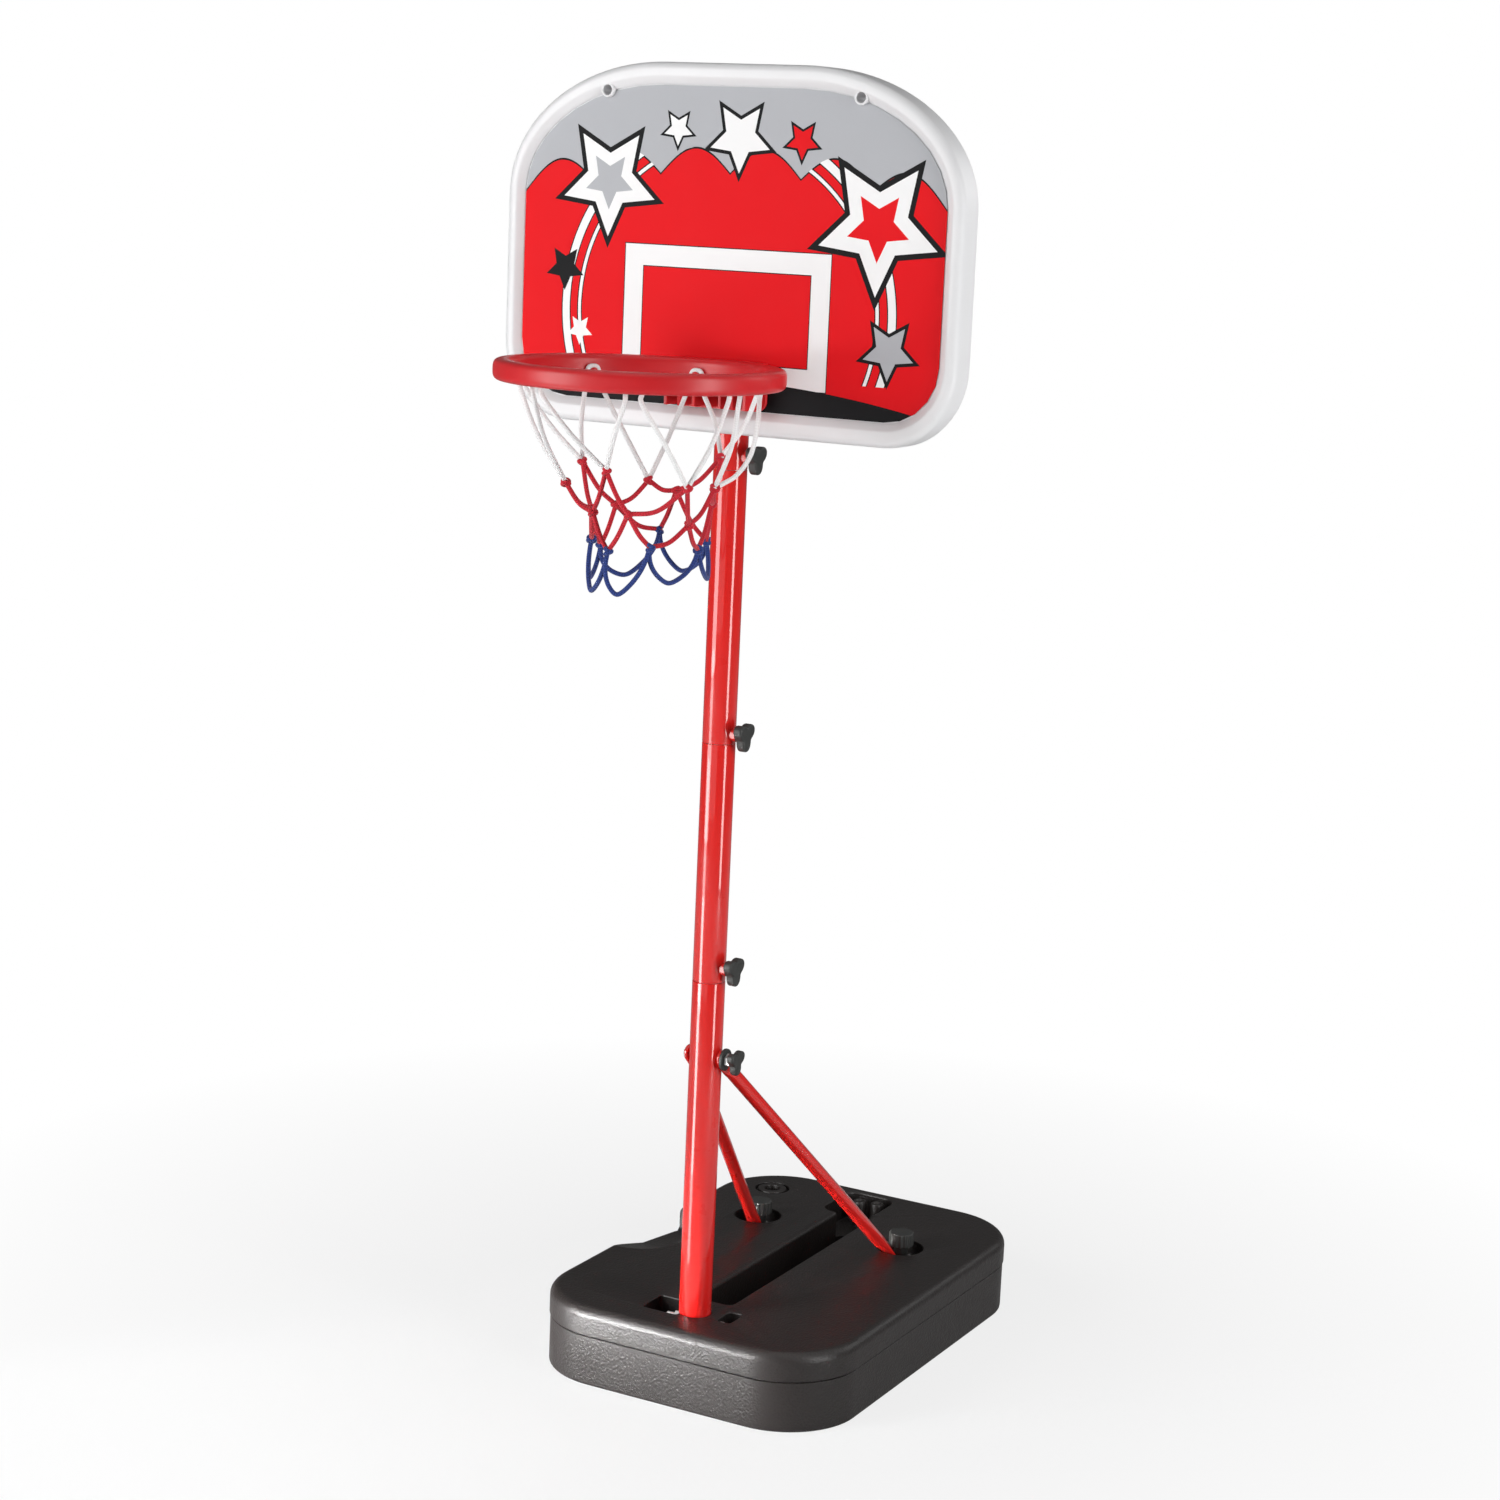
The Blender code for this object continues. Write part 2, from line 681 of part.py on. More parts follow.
def make_base(plastic):
    above = BASE_HEIGHT + 0.010
    tank = part("base_tank", slab(base_levels()), plastic)
    combine(tank, handhold_scoop(0, above), "DIFFERENCE")
    for outline, floor in base_hollows(0):
        cut(tank, prism(outline, floor, above))
    for x, y in POCKET_STUDS:
        stud_floor = BASE_HEIGHT - POCKET_DEPTH - BASE_WALL / 2
        fuse(tank, cylinder(POCKET_STUD_RADIUS, stud_floor, BASE_HEIGHT - POCKET_STUD_SINK, 16), at(x, y, 0))
    tunnel = cylinder(BOLT_HOLE_RADIUS, -LEFT_RECESS_END / 2, (RIGHT_RECESS_START + RIGHT_RECESS_END) / 2)
    cut(tank, tunnel, at(0, 0, POLE_BOLT_HEIGHT, ALONG_X))
    neck_foot = FILL_RECESS_FLOOR - FILL_NECK_LENGTH
    cut(tank, cylinder(FILL_HOLE_RADIUS, neck_foot - BASE_WALL, above, 20), at(FILL_X, FILL_Y, 0))

    cavity = cutter(slab(cavity_levels()))
    combine(cavity, handhold_scoop(BASE_WALL, above), "DIFFERENCE")
    for outline, floor in base_hollows(BASE_WALL):
        cut(cavity, prism(outline, floor, above))
    tunnel_wall = cylinder(BOLT_HOLE_RADIUS + BASE_WALL, 0, RIGHT_RECESS_END)
    cut(cavity, tunnel_wall, at(0, 0, POLE_BOLT_HEIGHT, ALONG_X))
    neck_wall = cylinder(FILL_HOLE_RADIUS + BASE_WALL, neck_foot, above, 16)
    cut(cavity, neck_wall, at(FILL_X, FILL_Y, 0))
    combine(tank, cavity, "DIFFERENCE")


def make_fill_cap(plastic, rubber):
    seal_top = SEAL_THICKNESS + GAP
    flange = seal_top + GAP
    top = flange + CAP_FLANGE
    plug_radius = FILL_HOLE_RADIUS - THREAD_CLEARANCE
    grip_floor = top - CAP_GRIP_DEPTH
    profile = [
        (0, grip_floor),
        (CAP_GRIP_RADIUS, grip_floor),
        (CAP_GRIP_RADIUS, top),
        (CAP_RADIUS - 0.0008, top),
        (CAP_RADIUS, top - 0.0008),
        (CAP_RADIUS, flange),
        (plug_radius, flange),
        (plug_radius, grip_floor - CAP_BASE_THICKNESS),
        (0, grip_floor - CAP_BASE_THICKNESS),
    ]
    place = at(FILL_X, FILL_Y, FILL_RECESS_FLOOR)
    part("fill_cap", turned(profile, 20), plastic, place)
    part("cap_seal", ring_solid(SEAL_HOLE_RADIUS, SEAL_RADIUS, GAP, seal_top, 20), rubber, place)


# Pole

def make_pole(paint, steel, plastic):
    """The sections, the necks they slide on, and the bosses that take the clamp knobs."""
    bottoms = (SOCKET_FLOOR, *JOINT_HEIGHTS)
    tops = (*JOINT_HEIGHTS, STEM_TOP)
    names = ("lower_pole", "middle_pole", "upper_pole", "board_stem")
    sections = []
    for name, bottom, top in zip(names, bottoms, tops):
        mesh = ring_solid(POLE_RADIUS - POLE_WALL, POLE_RADIUS, GAP, top - bottom, TUBE_SIDES)
        sections.append(part(name, mesh, paint, at(0, 0, bottom)))
    through = cylinder(BOLT_HOLE_RADIUS, -2 * POLE_RADIUS, 2 * POLE_RADIUS)
    for height in (POLE_BOLT_HEIGHT, BRACE_BOLT_HEIGHT):
        cut(sections[0], through, at(0, 0, height, ALONG_X))
    labels = ("lower", "middle", "upper")
    for label, joint, depth, reach in zip(labels, JOINT_HEIGHTS, NECK_DEPTHS, NECK_REACHES):
        mesh = ring_solid(NECK_RADIUS - NECK_WALL, NECK_RADIUS, -depth, reach, TUBE_SIDES)
        part(label + "_neck", mesh, steel, at(0, 0, joint))
    for label, section, height in zip(labels, sections[1:], KNOB_HEIGHTS):
        place = at(0, 0, height, ALONG_X)
        cut(section, cylinder(BOLT_HOLE_RADIUS, 0, 2 * POLE_RADIUS), place)
        boss = part(label + "_knob_boss", cylinder(BOSS_RADIUS, 0, BOSS_OUTER_X), paint, place)
        cut(boss, cylinder(SOCKET_RADIUS, height - 0.02, height + 0.02, TUBE_SIDES))
        cut(boss, cylinder(BOLT_HOLE_RADIUS, 0, 2 * POLE_RADIUS), place)
        make_clamp_knob(label, place, steel, plastic)
    bore = POLE_RADIUS - POLE_WALL - GAP
    cap = [
        (0, GAP + STEM_CAP_DISC),
        (POLE_RADIUS - 0.001, GAP + STEM_CAP_DISC),
        (POLE_RADIUS, GAP + STEM_CAP_DISC - 0.001),
        (POLE_RADIUS, GAP),
        (bore, GAP),
        (bore, -STEM_CAP_PLUG),
        (0, -STEM_CAP_PLUG),
    ]
    part("stem_cap", turned(cap, TUBE_SIDES), plastic, at(0, 0, STEM_TOP))


def lobed_knob(name, radius, thickness, start, bore_depth, hub_length, place, plastic):
    """A three-lobed knob along local Z, with a blind bore from its near side."""
    face = start + hub_length
    half_round = KNOB_EDGE_ROUND * (1 - math.sqrt(0.5))
    levels = (
        (0, half_round),
        (half_round, 0),
        (thickness - KNOB_EDGE_ROUND, 0),
        (thickness - half_round, half_round),
        (thickness, KNOB_EDGE_ROUND),
    )
    rings = [
        [(x, y, face + level) for x, y in lobed(radius - inset, KNOB_LOBE_DEPTH)] for level, inset in levels
    ]
    knob = part(name, loft(rings), plastic, place)
    if hub_length > 0:
        fuse(knob, cylinder(KNOB_HUB_RADIUS, start, face + thickness / 2), place)
    bore = cylinder(STUD_RADIUS + THREAD_CLEARANCE, start - 0.002, start + bore_depth)
    cut(knob, bore, place)


def make_clamp_knob(label, place, steel, plastic):
    part(label + "_clamp_stud", cylinder(STUD_RADIUS, NECK_RADIUS + GAP, STUD_END), steel, place)
    lobed_knob(
        label + "_clamp_knob",
        KNOB_RADIUS,
        KNOB_THICKNESS,
        KNOB_X,
        KNOB_BORE_DEPTH,
        KNOB_HUB_LENGTH,
        place,
        plastic,
    )


def hexagon(across_corners):
    return disc(0, 0, across_corners / 2, 6)


def nut(across_corners, low, high):
    bore = STUD_RADIUS + THREAD_CLEARANCE
    return prism(hexagon(across_corners), low, high), cylinder(bore, low - 0.002, high + 0.002)


def make_pole_bolt(steel):
    place = at(0, 0, POLE_BOLT_HEIGHT, ALONG_X)
    head_start = RIGHT_RECESS_START + GAP
    bolt = part("pole_bolt", cylinder(STUD_RADIUS, -POLE_BOLT_TAIL, head_start + POLE_BOLT_HEAD / 2), steel, place)
    fuse(bolt, prism(hexagon(POLE_BOLT_HEAD_CORNERS), head_start, head_start + POLE_BOLT_HEAD), place)
    outside, bore = nut(POLE_BOLT_HEAD_CORNERS, -POLE_RADIUS - GAP - NUT_HEIGHT, -POLE_RADIUS - GAP)
    cut(part("pole_bolt_nut", outside, steel, place), bore, place)


# Braces

def flat_ring(centre, across, up, half_across, half_up, squareness):
    """Twelve points round a centre: an ellipse at squareness 1, and nearly a rectangle at 0.35."""
    points = []
    for i in range(12):
        angle = 2 * math.pi * (i + 0.5) / 12
        u = math.copysign(abs(math.cos(angle)) ** squareness, math.cos(angle))
        v = math.copysign(abs(math.sin(angle)) ** squareness, math.sin(angle))
        points.append(centre + across * (half_across * u) + up * (half_up * v))
    return points


def brace_route():
    """The right brace's middle line: its bolt, the tab's end, and the bend above its foot."""
    bolt = Vector((TAB_MIDDLE_X, 0, BRACE_BOLT_HEIGHT))
    foot = Vector((WELL_X, FOOT_BOLT_Y, FOOT_MIDDLE))
    bend = foot + Vector((-0.0012, -FOOT_LAP, 0))
    drop = Vector((0, bend.y - bolt.y, bend.z - bolt.z)).normalized()
    return bolt, bolt + drop * TAB_STRAIGHT, bend, foot


def brace_rings(side):
    bolt, tab_end, bend, foot = brace_route()
    drop = (tab_end - bolt).normalized()
    flat = TAB_THICKNESS / 2
    knee = bend + Vector((-0.0012, -FOOT_RISE_RUN * 0.5, FOOT_RISE_RUN * 0.36))
    shin = bend + Vector((-0.0030, -FOOT_RISE_RUN * 1.3, FOOT_RISE_RUN * 1.45))
    slope = (shin - tab_end).normalized()
    reach = (shin - tab_end).length
    east = Vector((1, 0, 0))
    aside = Vector((slope.y, -slope.x, 0)).normalized()
    above = aside.cross(slope)
    tab_up = east.cross(drop)
    lap = (foot - bend).normalized()
    lap_aside = Vector((lap.y, -lap.x, 0)).normalized()
    upward = Vector((0, 0, 1))
    thin = FOOT_THICKNESS / 2
    rings = [
        (bolt - drop * TAB_HALF_HEIGHT, east, tab_up, flat, TAB_HALF_HEIGHT * 0.35, 0.35),
        (bolt - drop * TAB_HALF_HEIGHT * 0.75, east, tab_up, flat, TAB_HALF_HEIGHT * 0.75, 0.35),
        (bolt - drop * TAB_HALF_HEIGHT * 0.35, east, tab_up, flat, TAB_HALF_HEIGHT, 0.35),
        (tab_end, east, tab_up, flat, TAB_HALF_HEIGHT, 0.35),
        (tab_end + slope * BRACE_RADIUS, aside, above, BRACE_RADIUS * 0.7, BRACE_RADIUS * 1.08, 0.7),
        (tab_end + slope * 2 * BRACE_RADIUS, aside, above, BRACE_RADIUS, BRACE_RADIUS, 1),
        (tab_end + slope * (reach - 3 * BRACE_RADIUS), aside, above, BRACE_RADIUS, BRACE_RADIUS, 1),
        (shin, aside, above, FOOT_HALF_WIDTH * 0.92, BRACE_RADIUS * 0.42, 0.7),
        (knee, lap_aside, (above + upward).normalized(), FOOT_HALF_WIDTH, thin, 0.4),
        (bend, lap_aside, upward, FOOT_HALF_WIDTH, thin, 0.35),
        (foot + lap * FOOT_LAP * 0.4, lap_aside, upward, FOOT_HALF_WIDTH, thin, 0.35),
        (foot + lap * FOOT_LAP * 0.8, lap_aside, upward, FOOT_HALF_WIDTH * 0.75, thin, 0.35),
        (foot + lap * FOOT_LAP, lap_aside, upward, FOOT_HALF_WIDTH * 0.4, thin, 0.35),
    ]
    return [[(side * p.x, p.y, p.z) for p in flat_ring(*ring)] for ring in rings]


def brace_bore_rings(side):
    """The inside of the round stretch, and the place of the vent hole at its lower end."""
    rings = brace_rings(side)
    top, low = rings[5], rings[6]
    bores = []
    for ring in (top, low):
        centre = sum((Vector(point) for point in ring), Vector()) / len(ring)
        shrink = 1 - BRACE_WALL / BRACE_RADIUS
        bores.append([centre + (Vector(point) - centre) * shrink for point in ring])
    vent = sum(bores[1], Vector()) / len(bores[1]) + (sum(bores[0], Vector()) - sum(bores[1], Vector())) / 600
    return bores, vent


def make_brace(name, side, paint):
    brace = part(name, loft(brace_rings(side)), paint)
    hole = cylinder(BOLT_HOLE_RADIUS, 0, 2 * TAB_OUTER_X)
    cut(brace, hole, at(0, 0, BRACE_BOLT_HEIGHT, Matrix.Rotation(side * math.pi / 2, 4, "Y")))
    foot_hole = cylinder(BOLT_HOLE_RADIUS, WELL_FLOOR - 0.002, WELL_FLOOR + 0.008)
    cut(brace, foot_hole, at(side * WELL_X, FOOT_BOLT_Y, 0))
    bores, vent = brace_bore_rings(side)
    cut(brace, loft(bores))
    vent_hole = cylinder(BRACE_VENT_RADIUS, -2 * BRACE_RADIUS, 0, 8)
    cut(brace, vent_hole, at(*vent))


def make_brace_bolt(steel, plastic):
    place = at(0, 0, BRACE_BOLT_HEIGHT, ALONG_X)
    head = -TAB_OUTER_X - GAP
    profile = [
        (0, BRACE_BOLT_END),
        (STUD_RADIUS, BRACE_BOLT_END),
        (STUD_RADIUS, head),
        (BRACE_BOLT_HEAD_RADIUS, head),
        (BRACE_BOLT_HEAD_RADIUS, head - BRACE_BOLT_HEAD * 0.3),
        (BRACE_BOLT_HEAD_RADIUS * 0.7, head - BRACE_BOLT_HEAD * 0.8),
        (0, head - BRACE_BOLT_HEAD),
    ]
    part("brace_bolt", turned(profile), steel, place)
    low = TAB_OUTER_X + GAP
    washer = ring_solid(BOLT_HOLE_RADIUS, BRACE_WASHER_RADIUS, low, low + BRACE_WASHER, 20)
    part("brace_washer", washer, plastic, place)
    outside, bore = nut(NUT_ACROSS_CORNERS, BRACE_NUT_X, BRACE_NUT_X + NUT_HEIGHT)
    cut(part("brace_nut", outside, steel, place), bore, place)
    lobed_knob(
        "brace_knob", BRACE_KNOB_RADIUS, BRACE_KNOB_THICKNESS, BRACE_KNOB_X, BRACE_KNOB_BORE, 0, place, plastic
    )


def make_foot_fixing(label, side, steel, plastic):
    place = at(side * WELL_X, FOOT_BOLT_Y, 0)
    insert_low = WELL_FLOOR - INSERT_LENGTH + GAP
    part(label + "_foot_insert", ring_solid(BOLT_HOLE_RADIUS, INSERT_RADIUS, insert_low, WELL_FLOOR), steel, place)
    roof = FOOT_KNOB_TOP - FOOT_KNOB_ROOF
    part(label + "_foot_stud", cylinder(STUD_RADIUS, insert_low, roof - GAP), steel, place)
    washer = ring_solid(BOLT_HOLE_RADIUS, FOOT_WASHER_RADIUS, FOOT_WASHER_Z, FOOT_WASHER_Z + FOOT_WASHER)
    part(label + "_foot_washer", washer, steel, place)
    grip_low = FOOT_KNOB_Z + FOOT_KNOB_HUB
    outline = fluted(FOOT_KNOB_RADIUS, FOOT_KNOB_FLUTE_DEPTH, FOOT_KNOB_FLUTES)
    top_outline = fluted(FOOT_KNOB_RADIUS - FOOT_KNOB_ROUND, FOOT_KNOB_FLUTE_DEPTH, FOOT_KNOB_FLUTES)
    rings = [
        [(x, y, grip_low) for x, y in outline],
        [(x, y, FOOT_KNOB_TOP - FOOT_KNOB_ROUND) for x, y in outline],
        [(x, y, FOOT_KNOB_TOP) for x, y in top_outline],
    ]
    knob = part(label + "_foot_knob", loft(rings), plastic, place)
    fuse(knob, cylinder(FOOT_KNOB_HUB_RADIUS, FOOT_KNOB_Z, grip_low + 0.002), place)
    cut(knob, cylinder(STUD_RADIUS + THREAD_CLEARANCE, FOOT_KNOB_Z - 0.002, roof), place)


# Backboard

def board_ring(side, top, bottom, y):
    return [(x, y, z) for x, z in board_outline(side, top, bottom)]


def rim_ring(inset, y):
    """The board's outer outline, drawn in by inset."""
    return board_ring(RIM_SIDE - inset, RIM_TOP - inset, RIM_BOTTOM - inset, y)


def make_backboard(plastic):
    behind_lip = RIM_LIP + RIM_HOLLOW_LIP
    rings = [
        board_ring(RIM_HOLLOW_LIP, RIM_HOLLOW_LIP, RIM_HOLLOW_LIP, PANEL_BACK),
        board_ring(behind_lip, behind_lip, behind_lip, BOARD_FRONT + BOARD_WALL),
        rim_ring(BOARD_WALL + RIM_ROUND / 2, BOARD_FRONT + BOARD_WALL),
        rim_ring(BOARD_WALL, BOARD_FRONT + BOARD_WALL + RIM_ROUND / 2),
        rim_ring(BOARD_WALL, BOARD_BACK),
        rim_ring(0, BOARD_BACK),
    ]
    for i in range(3):
        angle = math.pi / 2 * i / 2
        inset = RIM_ROUND * (1 - math.cos(angle))
        rings.append(rim_ring(inset, BOARD_FRONT + RIM_ROUND * (1 - math.sin(angle))))
    rings.append(board_ring(RIM_LIP, RIM_LIP, RIM_LIP, BOARD_FRONT))
    rings.append(board_ring(0, 0, 0, PANEL_FRONT))
    board = part("backboard", loft(rings), plastic)
    add_board_ribs(board)
    for height in SADDLE_HEIGHTS:
        half = SADDLE_WIDTH / 2
        cradle = block(
            (-CRADLE_HALF_WIDTH, PANEL_BACK - 0.001, height - half), (CRADLE_HALF_WIDTH, CRADLE_FRONT, height + half)
        )
        fuse(board, cradle)
        for side in (-1, 1):
            boss = cylinder(SEAT_BOSS_RADIUS, PANEL_BACK - 0.001, SADDLE_SEAT)
            fuse(board, boss, at(side * SADDLE_SCREW_X, 0, height, ALONG_Y))
    for side in (-1, 1):
        hang_boss = cylinder(HANG_BOSS_RADIUS, BOARD_FRONT + HANG_BOSS_SINK, PANEL_BACK + HANG_BOSS_BACK, 20)
        fuse(board, hang_boss, at(side * HANG_HOLE_X, 0, HANG_HOLE_Z, ALONG_Y))
    cut(board, cylinder(STEM_RADIUS_CLEAR, PRINT_BOTTOM - 2 * RIM_BOTTOM, STEM_TOP + 0.004, TUBE_SIDES))
    screw_hole = SCREW_RADIUS + THREAD_CLEARANCE
    for side in (-1, 1):
        hang_hole = cylinder(HANG_HOLE_RADIUS, 2 * BOARD_FRONT, 0)
        cut(board, hang_hole, at(side * HANG_HOLE_X, 0, HANG_HOLE_Z, ALONG_Y))
        cut(
            board,
            cylinder(screw_hole, 2 * BOARD_FRONT, 0),
            at(side * RING_SCREW_X, 0, RING_SCREW_HEIGHT, ALONG_Y),
        )
        for height in SADDLE_HEIGHTS:
            depth = SADDLE_SEAT - SADDLE_SCREW_LENGTH - GAP
            cut(board, cylinder(screw_hole, depth, 0.002), at(side * SADDLE_SCREW_X, 0, height, ALONG_Y))


def add_board_ribs(board):
    """Upright and level ribs behind the panel. Their ends are buried in the rim's wall."""
    half = BOARD_RIB / 2
    buried = BOARD_WALL / 2
    low = PRINT_BOTTOM - RIM_BOTTOM + buried
    reach = PRINT_HALF_WIDTH + RIM_SIDE - buried
    corner_share = (BOARD_RIB_X - PRINT_HALF_WIDTH + TOP_CORNER_WIDTH) / (TOP_CORNER_WIDTH + RIM_SIDE)
    crown = (TOP_CORNER_HEIGHT + RIM_TOP) * math.sqrt(1 - corner_share**2)
    high = PRINT_TOP - TOP_CORNER_HEIGHT + crown - buried
    for side in (-1, 1):
        x = side * BOARD_RIB_X
        fuse(board, block((x - half, PANEL_BACK - 0.001, low), (x + half, BOARD_RIB_BACK, high)))
    for height in BOARD_RIB_HEIGHTS:
        rise = max(0.0, height - PRINT_TOP + TOP_CORNER_HEIGHT) / (TOP_CORNER_HEIGHT + RIM_TOP)
        narrowed = (TOP_CORNER_WIDTH + RIM_SIDE) * (1 - math.sqrt(1 - rise**2))
        end = reach - narrowed
        fuse(board, block((-end, PANEL_BACK - 0.001, height - half), (end, BOARD_RIB_BACK, height + half)))


def make_print(ink):
    """The printed sheet in the board's face, notched round the hanging bosses."""
    outline = board_outline(-2 * GAP, -2 * GAP, -2 * GAP)
    sheet = part("print_sheet", prism(outline, -PRINT_FRONT - PRINT_THICKNESS, -PRINT_FRONT), ink, FACING_FRONT)
    for side in (-1, 1):
        notch = cylinder(HANG_BOSS_RADIUS + GAP, 2 * BOARD_FRONT, 0, 20)
        cut(sheet, notch, at(side * HANG_HOLE_X, 0, HANG_HOLE_Z, ALONG_Y))
        hole = cylinder(SCREW_RADIUS + THREAD_CLEARANCE, 2 * BOARD_FRONT, 0)
        cut(sheet, hole, at(side * RING_SCREW_X, 0, RING_SCREW_HEIGHT, ALONG_Y))


def screw(length):
    """A pan-head screw along local Z, its head's underside at 0."""
    return turned(
        [
            (0, SCREW_HEAD),
            (SCREW_HEAD_RADIUS * 0.6, SCREW_HEAD),
            (SCREW_HEAD_RADIUS, SCREW_HEAD * 0.45),
            (SCREW_HEAD_RADIUS, 0),
            (SCREW_RADIUS, 0),
            (SCREW_RADIUS, -length + SCREW_RADIUS),
            (0, -length),
        ],
        10,
    )


def make_saddles(steel):
    """A strap over the stem at each height, with a screw in each ear."""
    wrap = STEM_RADIUS_CLEAR + SADDLE_WALL
    low = SADDLE_SEAT + GAP
    half = SADDLE_WIDTH / 2
    for label, height in zip(("lower", "upper"), SADDLE_HEIGHTS):
        saddle = part(label + "_saddle", cylinder(wrap, height - half, height + half, TUBE_SIDES), steel)
        ears = block(
            (-SADDLE_HALF_SPAN, low, height - half), (SADDLE_HALF_SPAN, low + SADDLE_WALL, height + half)
        )
        fuse(saddle, ears)
        cut(saddle, block((-0.05, -0.05, height - 0.02), (0.05, low, height + 0.02)))
        cut(saddle, cylinder(STEM_RADIUS_CLEAR, height - 0.02, height + 0.02, TUBE_SIDES))
        for end, side in (("left", -1), ("right", 1)):
            hole = cylinder(SCREW_RADIUS + HOLE_CLEARANCE, -0.02, 0.02, 12)
            cut(saddle, hole, at(side * SADDLE_SCREW_X, 0, height, ALONG_Y))
            place = at(side * SADDLE_SCREW_X, low + SADDLE_WALL + GAP, height, ALONG_Y)
            part(f"{label}_saddle_screw_{end}", screw(SADDLE_SCREW_LENGTH), steel, place)


# Ring

def ring_section():
    """The ring's rounded section, as (radius, height) points that run down its outer side."""
    points = []
    for i in range(12):
        angle = math.pi / 2 - 2 * math.pi * i / 12
        u = math.copysign(abs(math.cos(angle)) ** RING_SQUARENESS, math.cos(angle))
        v = math.copysign(abs(math.sin(angle)) ** RING_SQUARENESS, math.sin(angle))
        points.append(
            (RING_MIDDLE_RADIUS + u * RING_SECTION_WIDTH / 2, RING_MID_HEIGHT + v * RING_SECTION_HEIGHT / 2)
        )
    return points


def make_bracket():
    """The bracket behind the ring, as a helper that the ring is fused to."""
    plate = rounded_box(-BRACKET_HALF_WIDTH, BRACKET_HALF_WIDTH, BRACKET_BOTTOM, BRACKET_TOP, BRACKET_CORNER)
    bracket = cutter(prism(plate, -BRACKET_BACK, -BRACKET_BACK + BRACKET_PLATE), FACING_FRONT)
    front = RING_CENTRE_Y + RING_MIDDLE_RADIUS * 0.8
    shelf = block(
        (-BRACKET_HALF_WIDTH, front, BRACKET_TOP - BRACKET_PLATE),
        (BRACKET_HALF_WIDTH, BRACKET_BACK - BRACKET_PLATE / 2, BRACKET_TOP - 0.0002),
    )
    fuse(bracket, shelf)
    for i in range(BRACKET_RIBS):
        span = BRACKET_HALF_WIDTH - BRACKET_CORNER * 0.75
        x = span * (2 * i / (BRACKET_RIBS - 1) - 1)
        rib = block(
            (x - BRACKET_RIB / 2, front, BRACKET_BOTTOM + BRACKET_RIB_INSET),
            (x + BRACKET_RIB / 2, BRACKET_BACK - BRACKET_PLATE / 2, BRACKET_TOP - BRACKET_PLATE / 2),
        )
        fuse(bracket, rib)
    for side in (-1, 1):
        boss = cylinder(RING_SCREW_BOSS, BRACKET_BACK - RING_SCREW_LENGTH, BRACKET_BACK - BRACKET_PLATE / 2)
        fuse(bracket, boss, at(side * RING_SCREW_X, 0, RING_SCREW_HEIGHT, ALONG_Y))
    sides = 40
    hoop_clear = cylinder(RING_MIDDLE_RADIUS + 0.002, BRACKET_BOTTOM - 0.01, BRACKET_TOP + 0.01, sides)
    between_sides = Matrix.Rotation(math.pi / sides, 4, "Z")
    cut(bracket, hoop_clear, at(0, RING_CENTRE_Y, 0, between_sides))
    return bracket


def hook_angles():
    return [math.radians(FIRST_HOOK_DEG + 360 * i / COLUMNS) for i in range(COLUMNS)]


def make_ring(plastic):
    ring = part("ring", turned(ring_section(), 44, closed=True), plastic, at(0, RING_CENTRE_Y, 0))
    combine(ring, make_bracket(), "UNION")
    for angle in hook_angles():
        turn = Matrix.Rotation(angle, 4, "Z") @ ALONG_X
        peg = cylinder(HOOK_RADIUS, HOOK_TIP_RADIUS - HOOK_HEAD / 2, RING_INNER_RADIUS + HOOK_RADIUS * 2, 6)
        fuse(ring, peg, at(0, RING_CENTRE_Y, HOOK_HEIGHT, turn))
        head = cylinder(HOOK_HEAD_RADIUS, HOOK_TIP_RADIUS - HOOK_HEAD, HOOK_TIP_RADIUS, 6)
        fuse(ring, head, at(0, RING_CENTRE_Y, HOOK_HEIGHT, turn))
    for side in (-1, 1):
        hole = cylinder(SCREW_RADIUS + THREAD_CLEARANCE, BRACKET_BACK - RING_SCREW_LENGTH + 0.001, 0)
        cut(ring, hole, at(side * RING_SCREW_X, 0, RING_SCREW_HEIGHT, ALONG_Y))


def make_ring_screws(steel):
    for end, side in (("left", -1), ("right", 1)):
        place = at(side * RING_SCREW_X, PANEL_BACK + GAP, RING_SCREW_HEIGHT, ALONG_Y)
        grip = PANEL_BACK - BRACKET_BACK
        part("ring_screw_" + end, screw(grip + RING_SCREW_LENGTH - 0.002), steel, place)


# Net

def round_ring(degrees, radius, height):
    """A point by its angle round the ring, its radius and its height."""
    angle = math.radians(degrees)
    return Vector((radius * math.cos(angle), RING_CENTRE_Y + radius * math.sin(angle), height))


def net_point(degrees, radius, drop):
    """A point of the net by its angle, and its radius and drop below the hooks in net units."""
    return round_ring(degrees, radius * NET_UNIT, HOOK_HEIGHT - drop * NET_UNIT)


def bowed(start, end, bow):
    """The middle of a strand, pushed out from the net's axis."""
    middle = (start + end) / 2
    outward = Vector((middle.x, middle.y - RING_CENTRE_Y, 0)).normalized()
    return middle + outward * bow


